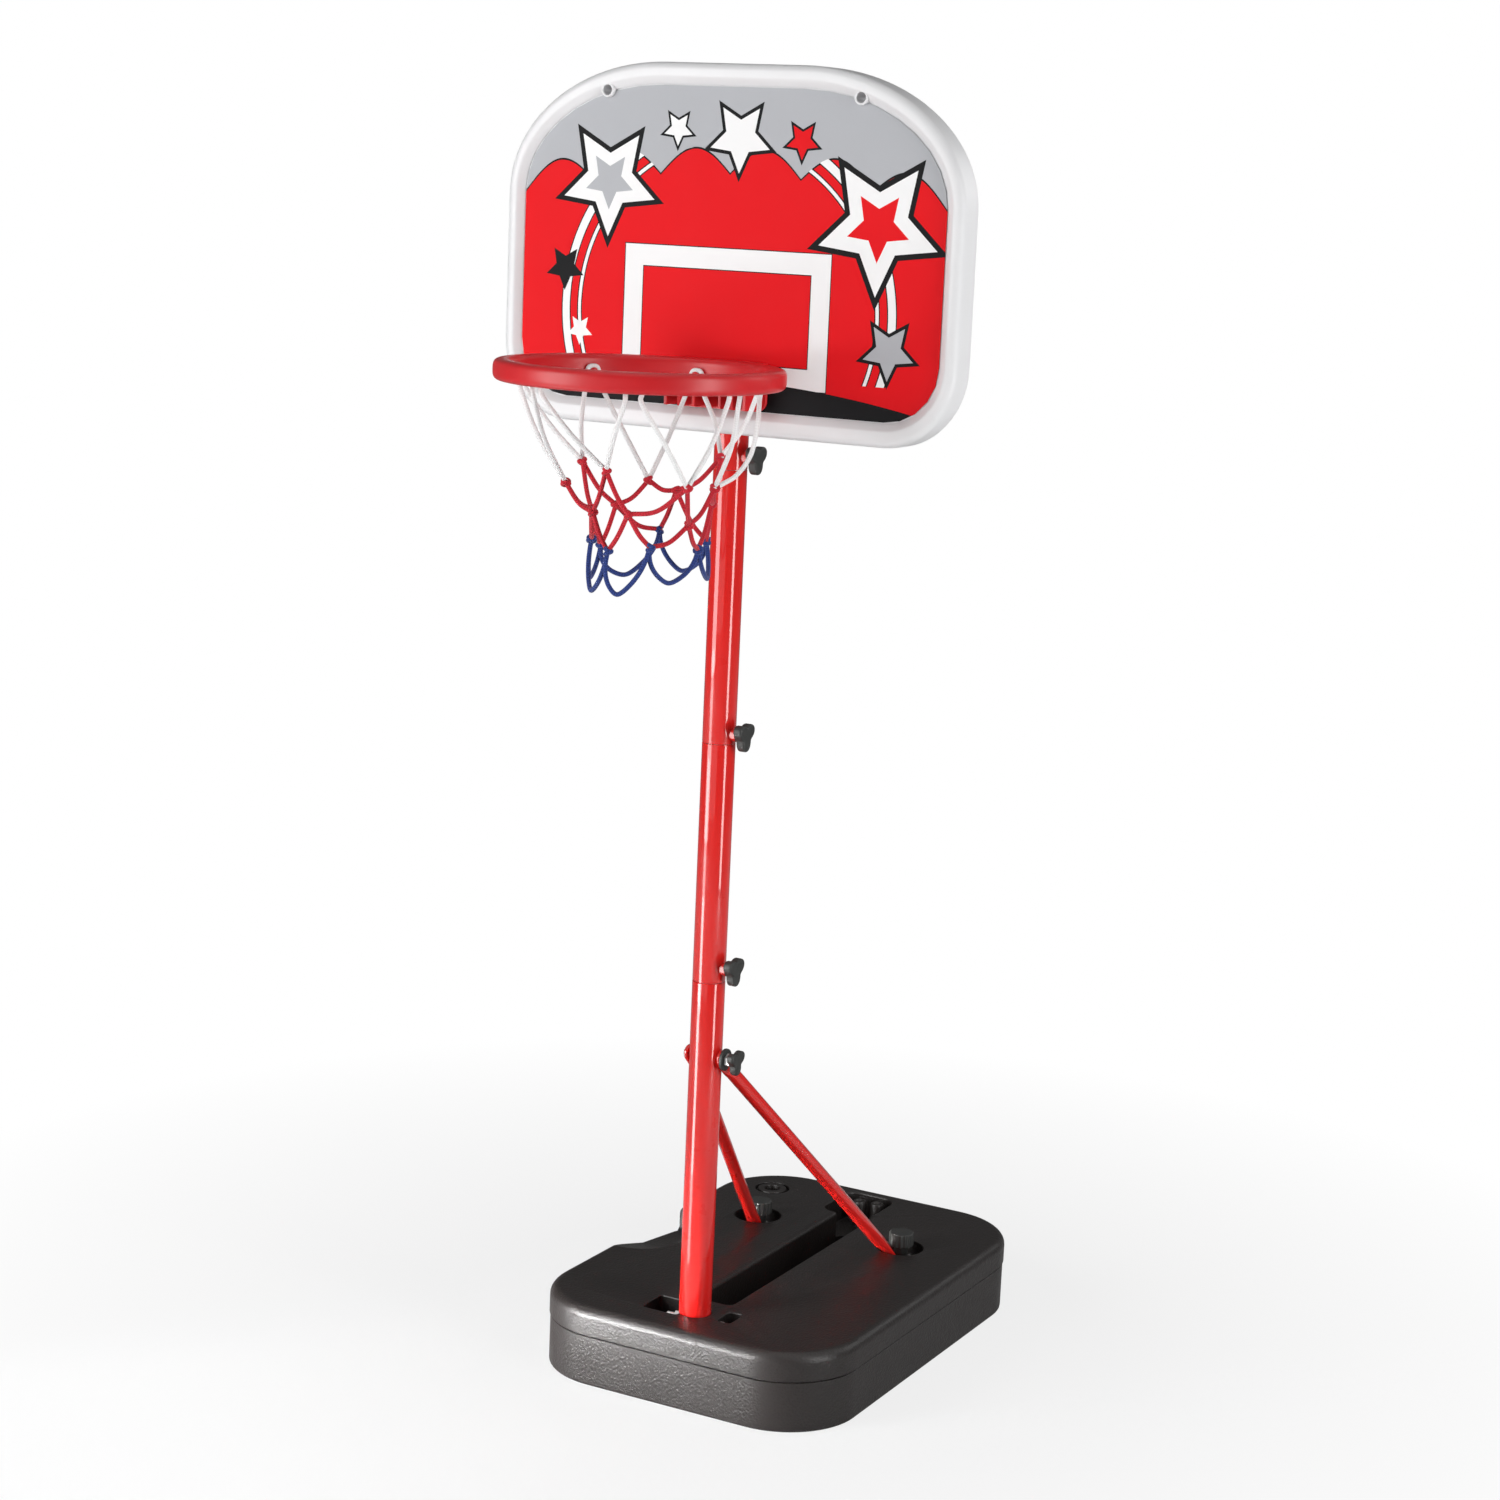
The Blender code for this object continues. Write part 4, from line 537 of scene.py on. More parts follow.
def arc(centre_x, centre_y, reach_x, reach_y, start_deg, end_deg, steps):
    """Points of an elliptical arc."""
    points = []
    for i in range(steps + 1):
        angle = math.radians(start_deg + (end_deg - start_deg) * i / steps)
        points.append((centre_x + reach_x * math.cos(angle), centre_y + reach_y * math.sin(angle)))
    return points


def disc(centre_x, centre_y, radius, sides=64):
    return arc(centre_x, centre_y, radius, radius, 0, 360, sides)[:-1]


def rounded_box(left, right, front, rear, corner, steps=10):
    points = arc(right - corner, rear - corner, corner, corner, 0, 90, steps)
    points += arc(left + corner, rear - corner, corner, corner, 90, 180, steps)
    points += arc(left + corner, front + corner, corner, corner, 180, 270, steps)
    points += arc(right - corner, front + corner, corner, corner, 270, 360, steps)
    return points


def growing_box(left, right, front, rear, corner, steps=10):
    """A rounded box as a function of how far it is grown on every side."""

    def outline(grow):
        return rounded_box(left - grow, right + grow, front - grow, rear + grow, corner + grow, steps)

    return outline


def waved(radius, depth, waves, sides):
    """A round outline with hollows of one depth between its lobes or flutes."""
    points = []
    for i in range(sides):
        angle = 2 * math.pi * i / sides
        reach = radius - depth * (0.5 - 0.5 * math.cos(waves * angle))
        points.append((reach * math.cos(angle), reach * math.sin(angle)))
    return points


def quarter(steps):
    """Sine and cosine round a quarter turn, from (0, 1) to (1, 0)."""
    angles = [math.pi / 2 * i / steps for i in range(steps + 1)]
    return [(math.sin(angle), math.cos(angle)) for angle in angles]


def rounding(radius, steps):
    """The distances of a round edge from the sharp one it replaces, from (radius, 0) to (0, radius)."""
    return [(radius * (1 - sine), radius * (1 - cosine)) for sine, cosine in quarter(steps)]


# Meshes

def to_mesh(bm):
    mesh = bpy.data.meshes.new("shape")
    bm.to_mesh(mesh)
    bm.free()
    return mesh


def loft(rings, closed_ends=True):
    """A skin through rings of the same number of points."""
    bm = bmesh.new()
    loops = [[bm.verts.new(point) for point in ring] for ring in rings]
    for lower, upper in zip(loops, loops[1:]):
        for i in range(len(lower)):
            bm.faces.new((lower[i - 1], lower[i], upper[i], upper[i - 1]))
    if closed_ends:
        bm.faces.new(loops[0])
        bm.faces.new(loops[-1])
    bmesh.ops.recalc_face_normals(bm, faces=bm.faces)
    return to_mesh(bm)


def stacked(outline, levels):
    """A loft through an outline at levels of (height, grow). outline(grow) gives its points."""
    return loft([[(x, y, height) for x, y in outline(grow)] for height, grow in levels])


def merged(mesh, distance):
    """The mesh with its doubles merged and its faces turned outwards."""
    bm = bmesh.new()
    bm.from_mesh(mesh)
    bmesh.ops.remove_doubles(bm, verts=bm.verts, dist=distance)
    bmesh.ops.recalc_face_normals(bm, faces=bm.faces)
    return to_mesh(bm)


def turned(profile, sides=64, closed=False):
    """A profile of (radius, height) points turned about local Z."""
    rings = [[(x, y, height) for x, y in disc(0, 0, radius, sides)] for radius, height in profile]
    if closed:
        rings.append(rings[0])
    return merged(loft(rings, closed_ends=not closed), 0.000001)


def at(x, y, z=0):
    return Matrix.Translation((x, y, z))


def moved(mesh, place):
    mesh.transform(place)
    return mesh


def along_y(profile, x, z, sides=40, closed=False):
    """A turned shape whose heights run along +Y."""
    return moved(turned(profile, sides, closed), at(x, 0, z) @ ALONG_Y)


def straight_hole(x, y, radius, low, high, sides=48):
    return moved(turned([(radius, high), (radius, low)], sides), at(x, y))


def block(low, high, edge=0.0):
    """A box between two corners, with rounded edges where asked."""
    bm = bmesh.new()
    size = [b - a for a, b in zip(low, high)]
    middle = [(a + b) / 2 for a, b in zip(low, high)]
    bmesh.ops.create_cube(bm, size=1.0, matrix=at(*middle) @ Matrix.Diagonal((*size, 1.0)))
    if edge > 0:
        bmesh.ops.bevel(bm, geom=bm.edges, offset=edge, segments=2, profile=0.5, affect="EDGES")
    return to_mesh(bm)


def joined(meshes):
    bm = bmesh.new()
    for mesh in meshes:
        bm.from_mesh(mesh)
    return to_mesh(bm)


def in_scene(name, data):
    """A new object of the scene."""
    obj = bpy.data.objects.new(name, data)
    bpy.context.scene.collection.objects.link(obj)
    return obj


def modified(obj, *helpers):
    """The plain mesh that an object's modifiers make. The object and its helpers go."""
    graph = bpy.context.evaluated_depsgraph_get()
    mesh = bpy.data.meshes.new_from_object(obj.evaluated_get(graph))
    for used in (obj, *helpers):
        bpy.data.objects.remove(used)
    return mesh


def cut(mesh, *cutters):
    """The mesh after an exact Boolean with each cutter in turn."""
    target = in_scene("target", mesh)
    helpers = [in_scene("helper", cutter) for cutter in cutters]
    for helper in helpers:
        boolean = target.modifiers.new("cut", "BOOLEAN")
        boolean.operation = "DIFFERENCE"
        boolean.object = helper
    return modified(target, *helpers)


# Pieces

def body_of(node):
    bodies = frame["record"]["behaviour"]["bodies"]
    return next(body for body, nodes in bodies.items() if node in nodes)


def piece(name, mesh, finish, node, sharp_deg=35):
    """A finished piece that stands for a CAD node and rides on its body."""
    material, slot = finish
    mesh.shade_smooth()
    mesh.set_sharp_from_angle(angle=math.radians(sharp_deg))
    mesh.materials.clear()
    mesh.materials.append(material)
    obj = in_scene(name, mesh)
    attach(obj, body_of(node))
    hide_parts(node)
    return obj


def merged_copy(node):
    """A copy of a CAD node's mesh with its loose triangles merged."""
    bm = bmesh.new()
    bm.from_mesh(frame["nodes"][node].data)
    bmesh.ops.remove_doubles(bm, verts=bm.verts, dist=0.000002)
    bmesh.ops.dissolve_limit(bm, angle_limit=math.radians(1), verts=bm.verts, edges=bm.edges)
    return to_mesh(bm)


def hardware(node, finish, edge):
    """A CAD node with its sharp edges broken."""
    obj = piece(node + "_finished", merged_copy(node), finish, node)
    bevel = obj.modifiers.new("edges", "BEVEL")
    bevel.width = edge
    bevel.segments = 2
    bevel.limit_method = "ANGLE"
    bevel.angle_limit = math.radians(50)
    bevel.harden_normals = True


# Base

def tank_skin():
    """The tank's outside, with a fine groove round its parting line."""
    levels = [(rise, PARTING_STEP + inset) for inset, rise in rounding(TANK_FOOT_ROUND, 5)]
    low = PARTING_HEIGHT - PARTING_GROOVE_HALF
    high = PARTING_HEIGHT + PARTING_GROOVE_HALF
    levels += [
        (low - PARTING_EDGE, PARTING_STEP),
        (low, PARTING_STEP + PARTING_EDGE),
        (low + 0.0001, PARTING_GROOVE_DEPTH),
        (high - 0.0001, PARTING_GROOVE_DEPTH),
        (high, PARTING_EDGE),
        (high + PARTING_EDGE, 0),
    ]
    levels += [(TANK_HIGH.z - drop, inset) for drop, inset in rounding(TANK_TOP_ROUND, 10)]
    outline = growing_box(TANK_LOW.x, TANK_HIGH.x, TANK_LOW.y, TANK_HIGH.y, TANK_CORNER, 16)
    return stacked(outline, [(height, -inset) for height, inset in levels])


def hollow(outline, floor, flare=RIM_FLARE, fillet=FLOOR_FILLET):
    """A cutter with a filleted floor and a rim that opens out at the tank's top."""
    top = TANK_HIGH.z
    levels = [(floor + rise, -inset) for inset, rise in rounding(fillet, 4)]
    for _, cosine in quarter(5):
        opening = 1 - math.sqrt(max(0.0, 1 - (1 - cosine) ** 2))
        levels.append((top - flare * cosine, flare * opening))
    levels.append((top + ABOVE_TOP, flare))
    return stacked(outline, levels)


def box_hollow(left, right, front, rear, corner, floor, *edges):
    return hollow(growing_box(left, right, front, rear, corner), floor, *edges)


def round_hollow(x, y, radius, floor, *edges):
    return hollow(lambda grow: disc(x, y, radius + grow), floor, *edges)


def handhold_depth(y):
    """How far the hand-hold's floor lies under the tank's top."""
    (y0, d0), (y1, d1), (y2, d2) = HANDHOLD_DEPTHS
    if y < y1:
        return d0 + (d1 - d0) * max(0.0, y - y0) / (y1 - y0)
    return d1 + (d2 - d1) * min(1.0, (y - y1) / (y2 - y1))


def handhold_scoop():
    """The hand-hold's cutter: a scoop whose floor slopes down to the rear, open at the tank's left side."""
    steps = 12
    left, right = HANDHOLD[:2]
    outline = growing_box(*HANDHOLD, steps)
    top, rim, fillet = TANK_HIGH.z, HANDHOLD_RIM, HANDHOLD_FILLET
    bend = HANDHOLD_DEPTHS[1][0]

    def ring(grow, height):
        points = outline(grow)
        points.insert(2 * steps + 2, (left - grow, bend))
        points.append((right + grow, bend))
        return [(x, y, height(handhold_depth(y))) for x, y in points]

    def drawn_to_bend(points, height):
        return [(x, bend, height) for x, _, _ in points]

    rings = [ring(rim, lambda depth: top + ABOVE_TOP)]
    for sine, cosine in quarter(5):
        rings.append(ring(rim * (1 - sine), lambda depth: top - min(rim, depth * 0.5) * (1 - cosine)))
    for sine, cosine in quarter(5):
        grow = -fillet * (1 - cosine)
        rings.append(ring(grow, lambda depth: top - depth + min(fillet, depth * 0.45) * (1 - sine)))
    rings.insert(0, drawn_to_bend(rings[0], top + ABOVE_TOP))
    rings.append(drawn_to_bend(rings[-1], top - handhold_depth(bend)))
    return merged(loft(rings, closed_ends=False), 0.000002)


def pocket_stud(x, y):
    """A round boss on the rear pocket's floor, with a dished top."""
    radius, top, floor = POCKET_STUD_RADIUS, POCKET_STUD_TOP, POCKET[-1]
    profile = [
        (0.0004, top - 0.0016),
        (radius * 0.45, top - 0.0014),
        (radius * 0.62, top - 0.0003),
        (radius * 0.72, top),
        (radius * 0.90, top - 0.0004),
        (radius, top - 0.0016),
        (radius, floor + 0.0010),
        (radius + 0.0010, floor - 0.0005),
    ]
    return moved(turned(profile, 40), at(x, y))


def make_tank():
    cutters = [box_hollow(*sizes) for sizes in (CHANNEL, POCKET, LEFT_RECESS, RIGHT_RECESS)]
    cutters.append(handhold_scoop())
    cutters.append(round_hollow(0, 0, *SOCKET))
    cutters.append(round_hollow(*FILL_PLACE, *FILL_RECESS))
    cutters.append(straight_hole(*FILL_PLACE, *FILL_HOLE))
    for x in (-WELL_X, WELL_X):
        cutters.append(round_hollow(x, WELL_Y, *WELL))
        cutters.append(straight_hole(x, FOOT_BOLT_Y, *INSERT_HOLE))
    shapes = [cut(tank_skin(), *cutters)]
    shapes += [pocket_stud(x, y) for x, y in POCKET_STUDS]
    piece("base_tank_skin", joined(shapes), TANK_PLASTIC, "base_tank", 32)


def make_fill_cap():
    """The cap with its plug, and a sunk grip with a bar across it."""
    low, high = CAP_LOW.z, CAP_HIGH.z
    radius = (CAP_HIGH.x - CAP_LOW.x) / 2
    grip, floor = CAP_GRIP_RADIUS, high - CAP_GRIP_DEPTH
    profile = [
        (0.0002, floor),
        (grip - 0.0008, floor),
        (grip, floor + 0.0008),
        (grip, high - 0.0010),
        (grip + 0.0003, high - 0.0003),
        (grip + 0.0010, high),
        (radius - 0.0012, high),
        (radius - 0.0004, high - 0.0004),
        (radius, high - 0.0012),
        (radius, high - 0.0030),
        (CAP_PLUG_RADIUS, high - 0.0031),
        (CAP_PLUG_RADIUS, low),
        (0.0002, low),
    ]
    x, y = FILL_PLACE
    bar_low = (x - grip, y - CAP_BAR_HALF, floor - 0.0005)
    bar_high = (x + grip, y + CAP_BAR_HALF, high - 0.0035)
    cap = joined([moved(turned(profile), at(x, y)), block(bar_low, bar_high, 0.0005)])
    piece("fill_cap_finished", cap, TANK_PLASTIC, "fill_cap")


# Pole and knobs

def make_poles():
    """Steel tubes with rolled ends, so that each joint shows as a fine dark line."""
    for node in ("lower_pole", "middle_pole", "upper_pole", "board_stem"):
        low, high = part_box(node)
        ends = rounding(POLE_END_ROUND, 4)
        profile = [(POLE_RADIUS - inset, high.z - drop) for inset, drop in ends]
        profile += [(POLE_RADIUS - inset, low.z + rise) for inset, rise in reversed(ends)]
        profile += [(POLE_RADIUS - POLE_WALL, low.z), (POLE_RADIUS - POLE_WALL, high.z)]
        piece(node + "_tube", turned(profile, 96, closed=True), RED_PAINT, node)


def hub(radius, low, high, edge):
    """A round hub with a broken edge at its near end."""
    return turned([(radius - 0.0004, low), (radius, low + edge), (radius, high)], 48)


def lobed_knob(radius, thickness, hub_length):
    """A lobed knob along local Z, with the stud's end in its face and a hub where it has one."""
    levels = [(0, 0.0012), (0.0005, 0.0004), (0.0013, 0)]
    levels += [(thickness - drop, inset) for drop, inset in rounding(KNOB_EDGE_ROUND, 6)]
    top = hub_length + thickness
    shapes = [
        stacked(
            lambda inset: waved(radius - inset, KNOB_LOBE_DEPTH, KNOB_LOBES, 90),
            [(hub_length + height, inset) for height, inset in levels],
        ),
        turned([(0.0002, top - 0.0001), (0.0030, top), (0.0034, top - 0.0006)], 40),
    ]
    if hub_length > 0:
        shapes.append(hub(KNOB_HUB_RADIUS, 0, hub_length + 0.001, 0.0004))
    return joined(shapes)


def make_lobed_knobs():
    clamp = (CLAMP_KNOB_RADIUS, KNOB_HUB_LENGTH)
    knobs = {
        "lower_clamp_knob": clamp,
        "middle_clamp_knob": clamp,
        "upper_clamp_knob": clamp,
        "brace_knob": (BRACE_KNOB_RADIUS, 0.0),
    }
    heights = {joint["child"]: joint["pos_m"][2] for joint in frame["joints"] if joint["type"] == "hinge"}
    for node, (radius, hub_length) in knobs.items():
        low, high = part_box(node)
        mesh = lobed_knob(radius, high.x - low.x - hub_length, hub_length)
        moved(mesh, at(low.x, 0, heights[body_of(node)]) @ ALONG_X)
        piece(node + "_finished", mesh, KNOB_PLASTIC, node, 50)


def make_foot_knobs():
    """Fluted round knobs on their tall hubs."""
    for node, x in (("left_foot_knob", -WELL_X), ("right_foot_knob", WELL_X)):
        low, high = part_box(node)
        grip_low = low.z + FOOT_KNOB_HUB
        levels = [(grip_low, 0.0006), (grip_low + 0.0006, 0)]
        levels += [(high.z - drop, inset) for drop, inset in rounding(FOOT_KNOB_ROUND, 5)]
        levels.append((high.z - 0.0003, 0.0040))
        flutes, depth = FOOT_KNOB_FLUTES, FOOT_KNOB_FLUTE_DEPTH
        grip = stacked(lambda inset: waved(FOOT_KNOB_RADIUS - inset, depth, flutes, 8 * flutes), levels)
        mesh = joined([grip, hub(FOOT_KNOB_HUB_RADIUS, low.z, grip_low + 0.001, 0.0005)])
        piece(node + "_finished", moved(mesh, at(x, FOOT_BOLT_Y)), KNOB_PLASTIC, node, 40)


# Board

def board_outline(side, top, bottom):
    """The printed face's outline, grown by side, top and bottom."""
    top_x = PRINT_HALF_WIDTH - TOP_CORNER_WIDTH
    top_z = PRINT_TOP - TOP_CORNER_HEIGHT
    low_x = PRINT_HALF_WIDTH - BOTTOM_CORNER
    low_z = PRINT_BOTTOM + BOTTOM_CORNER
    top_reach = (TOP_CORNER_WIDTH + side, TOP_CORNER_HEIGHT + top)
    low_reach = (BOTTOM_CORNER + side, BOTTOM_CORNER + bottom)
    points = arc(top_x, top_z, *top_reach, 0, 90, 28)
    points += arc(-top_x, top_z, *top_reach, 90, 180, 28)
    points += arc(-low_x, low_z, *low_reach, 180, 270, 16)
    points += arc(low_x, low_z, *low_reach, 270, 360, 16)
    return points


def board_ring(grow, y):
    return [(x, y, z) for x, z in board_outline(grow, grow, grow)]


def rim_ring(inset, y):
    return [(x, y, z) for x, z in board_outline(RIM_SIDE - inset, RIM_TOP - inset, RIM_BOTTOM - inset)]


def board_shell():
    """The board's panel and hollow rim, from the panel's back round the rim to its front."""
    front, back = BOARD_LOW.y, BOARD_HIGH.y
    inner = front + BOARD_WALL
    rings = [
        board_ring(0.002, PANEL_BACK),
        board_ring(RIM_LIP + 0.002, inner),
        rim_ring(BOARD_WALL + RIM_ROUND / 2, inner),
        rim_ring(BOARD_WALL, inner + RIM_ROUND / 2),
        rim_ring(BOARD_WALL, back - 0.0004),
        rim_ring(BOARD_WALL - 0.0004, back),
        rim_ring(0.0006, back),
        rim_ring(0, back - 0.0006),
    ]
    rings += [rim_ring(inset, front + depth) for depth, inset in rounding(RIM_ROUND, 8)]
    rings += [
        board_ring(RIM_LIP + 0.0016, front),
        board_ring(RIM_LIP + 0.0004, front + 0.0003),
        board_ring(RIM_LIP - 0.0006, front + 0.0011),
        board_ring(0.0008, PANEL_FRONT - 0.0012),
        board_ring(0, PANEL_FRONT),
    ]
    return loft(rings)


def hang_boss(x):
    """The sleeve of a hanging hole."""
    front = BOARD_LOW.y + HANG_BOSS_SINK
    back = PANEL_BACK + HANG_BOSS_BACK
    profile = [
        (HANG_HOLE_RADIUS, front + 0.0005),
        (HANG_HOLE_RADIUS + 0.0005, front),
        (HANG_BOSS_RADIUS - 0.0006, front),
        (HANG_BOSS_RADIUS - 0.0002, front + 0.0002),
        (HANG_BOSS_RADIUS, front + 0.0008),
        (HANG_BOSS_RADIUS, back),
        (HANG_HOLE_RADIUS, back),
    ]
    return along_y(profile, x, HANG_HOLE_Z, 48, closed=True)


def seat_boss(x, height):
    """The boss that a saddle's screw goes into."""
    profile = [
        (SADDLE_SCREW_GAP, SADDLE_SEAT),
        (SEAT_BOSS_RADIUS - 0.0005, SADDLE_SEAT),
        (SEAT_BOSS_RADIUS, SADDLE_SEAT - 0.0005),
        (SEAT_BOSS_RADIUS + 0.0006, PANEL_BACK - 0.0005),
        (SADDLE_SCREW_GAP, PANEL_BACK - 0.0005),
    ]
    return along_y(profile, x, height, 32, closed=True)


def board_ribs():
    """Upright and level ribs behind the panel, with their ends in the rim's wall."""
    half = BOARD_RIB / 2
    buried = BOARD_WALL / 2
    front = PANEL_BACK - INTO_PANEL
    low = PRINT_BOTTOM - RIM_BOTTOM + buried
    reach = PRINT_HALF_WIDTH + RIM_SIDE - buried
    share = (BOARD_RIB_X - PRINT_HALF_WIDTH + TOP_CORNER_WIDTH) / (TOP_CORNER_WIDTH + RIM_SIDE)
    crown = (TOP_CORNER_HEIGHT + RIM_TOP) * math.sqrt(1 - share**2)
    high = PRINT_TOP - TOP_CORNER_HEIGHT + crown - buried
    ribs = []
    for x in (-BOARD_RIB_X, BOARD_RIB_X):
        ribs.append(block((x - half, front, low), (x + half, BOARD_RIB_BACK, high), 0.0005))
    for height in BOARD_RIB_HEIGHTS:
        rise = max(0.0, height - PRINT_TOP + TOP_CORNER_HEIGHT) / (TOP_CORNER_HEIGHT + RIM_TOP)
        end = reach - (TOP_CORNER_WIDTH + RIM_SIDE) * (1 - math.sqrt(1 - rise**2))
        ribs.append(block((-end, front, height - half), (end, BOARD_RIB_BACK, height + half), 0.0005))
    return ribs


def saddle_cradle(height):
    """The block behind the panel that the stem lies in."""
    half = SADDLE_WIDTH / 2
    low = (-CRADLE_HALF_WIDTH, PANEL_BACK - INTO_PANEL, height - half)
    high = (CRADLE_HALF_WIDTH, CRADLE_FRONT, height + half)
    return block(low, high, 0.0006)


def make_board():
    hole_radius = HANG_HOLE_RADIUS + HANG_HOLE_CLEAR
    through = [(hole_radius, 0.0), (hole_radius, 2 * BOARD_LOW.y)]
    hang_holes = [along_y(through, x, HANG_HOLE_Z) for x in HANG_HOLES]
    stem_gap = straight_hole(0, 0, *STEM_GAP, 64)
    shapes = [cut(board_shell(), *hang_holes, stem_gap)]
    shapes += [hang_boss(x) for x in HANG_HOLES]
    shapes += [seat_boss(x, height) for height in SADDLE_HEIGHTS for x in (-SADDLE_SCREW_X, SADDLE_SCREW_X)]
    behind = board_ribs() + [saddle_cradle(height) for height in SADDLE_HEIGHTS]
    shapes += [cut(shape, stem_gap) for shape in behind]
    piece("backboard_shell", joined(shapes), WHITE_PLASTIC, "backboard", 38)


# Geometry node trees

class Grower(Nodes):
    """A Geometry Nodes tree with named size inputs, applied to a carrier object."""

    def __init__(self, name, **sizes):
        super().__init__(bpy.data.node_groups.new(name, "GeometryNodeTree"))
        sockets = self.tree.interface
        sockets.new_socket("Geometry", in_out="INPUT", socket_type="NodeSocketGeometry")
        self.values = {}
        for size, value in sizes.items():
            kind = "NodeSocketInt" if isinstance(value, int) else "NodeSocketFloat"
            socket = sockets.new_socket(size, in_out="INPUT", socket_type=kind)
            self.values[socket.identifier] = value
        sockets.new_socket("Geometry", in_out="OUTPUT", socket_type="NodeSocketGeometry")
        self.sizes = self.node("NodeGroupInput")

    def vector(self, x=0.0, y=0.0, z=0.0):
        return self.node("ShaderNodeCombineXYZ", [x, y, z])["Vector"]

    def line(self, count, start, step):
        inputs = {"Count": count, "Start Location": start, "Offset": step}
        return self.node("GeometryNodeMeshLine", inputs, mode="OFFSET")["Mesh"]

    def grown(self, finish, inputs, *helpers):
        """Instances on points, given by the inputs of that node, as a plain mesh."""
        spread = self.node("GeometryNodeInstanceOnPoints", inputs)["Instances"]
        real = self.node("GeometryNodeRealizeInstances", [spread])["Geometry"]
        end = self.node("GeometryNodeSetMaterial", {"Geometry": real, "Material": finish[0]})["Geometry"]
        self.node("NodeGroupOutput", [end])
        carrier = in_scene("carrier", bpy.data.meshes.new("carrier"))
        modifier = carrier.modifiers.new("grow", "NODES")
        modifier.node_group = self.tree
        for identifier, value in self.values.items():
            modifier[identifier] = value
        return modified(carrier, *helpers)


def row_of_ribs():
    """The upright ribs under the bracket's shelf."""
    front = RING_CENTRE.y + HOOP_RADIUS * BRACKET_RIB_REACH
    back = PRINT_LOW.y - BRACKET_PLATE / 2
    bottom = BRACKET_BOTTOM + BRACKET_RIB_LIFT
    top = BRACKET_TOP - BRACKET_PLATE / 2
    half_row = BRACKET_HALF_WIDTH - OUTER_RIB_INSET
    grower = Grower("rib_row", Count=BRACKET_RIBS, Span=half_row, Thickness=BRACKET_RIB)
    count, span = grower.sizes["Count"], grower.sizes["Span"]
    start = grower.vector(span * -1.0, (front + back) / 2, (bottom + top) / 2)
    points = grower.line(count, start, grower.vector(span * 2.0 / (count - 1.0)))
    size = grower.vector(grower.sizes["Thickness"], back - front, top - bottom)
    rib = grower.node("GeometryNodeMeshCube", {"Size": size})["Mesh"]
    return grower.grown(RING_PLASTIC, {"Points": points, "Instance": rib})


def hook_circle(hook):
    """Copies of one hook round the ring, at the net's columns."""
    source = in_scene("hook", hook)
    first = math.radians(FIRST_HOOK_DEG)
    grower = Grower("hook_circle", Count=COLUMNS, First=first, Height=HOOK_HEIGHT)
    count = grower.sizes["Count"]
    centre = grower.vector(RING_CENTRE.x, RING_CENTRE.y, grower.sizes["Height"])
    points = grower.line(count, centre, (0, 0, 0))
    index = grower.node("GeometryNodeInputIndex")["Index"]
    turn = grower.vector(z=index * (2 * math.pi / count) + grower.sizes["First"])
    shape = grower.node("GeometryNodeObjectInfo", {"Object": source})["Geometry"]
    return grower.grown(RING_PLASTIC, {"Points": points, "Instance": shape, "Rotation": turn}, source)


# Ring

def ring_hoop():
    """The hoop, whose section is a circle drawn out towards a square."""
    points, steps = [], 32
    for i in range(steps):
        angle = math.pi / 2 - 2 * math.pi * i / steps
        u = math.copysign(abs(math.cos(angle)) ** RING_SQUARENESS, math.cos(angle))
        v = math.copysign(abs(math.sin(angle)) ** RING_SQUARENESS, math.sin(angle))
        points.append((HOOP_RADIUS + u * RING_SECTION_WIDTH / 2, RING_CENTRE.z + v * RING_SECTION_HEIGHT / 2))
    return moved(turned(points, 160, closed=True), at(0, RING_CENTRE.y))


def hook_mesh():
    """One peg along +X from the ring's inner wall to its head, as the ring's centre sees it."""
    inner = RING_OUTER_RADIUS - RING_SECTION_WIDTH
    tip = CORD_ON_HOOK_RADIUS - CORD_RADIUS - SEAT_GAP
    profile = [
        (0.0004, tip - 0.0012),
        (0.0020, tip - 0.0012),
        (HOOK_HEAD_RADIUS, tip - 0.0007),
        (HOOK_HEAD_RADIUS, tip - 0.0002),
        (0.0017, tip + 0.0002),
        (HOOK_RADIUS, tip + 0.0008),
        (HOOK_RADIUS, inner - 0.0006),
        (HOOK_RADIUS + 0.0012, inner + 0.0006),
    ]
    return moved(turned(profile, 24), ALONG_X)


def bracket_plate():
    """The upright plate that lies on the board."""
    half, edge = BRACKET_HALF_WIDTH, BRACKET_EDGE
    outline = growing_box(-half, half, BRACKET_BOTTOM, BRACKET_TOP, BRACKET_CORNER)
    levels = ((0, edge), (edge, 0), (BRACKET_PLATE - edge, 0), (BRACKET_PLATE, edge))
    return loft([[(x, BRACKET_BACK - depth, z) for x, z in outline(-inset)] for depth, inset in levels])


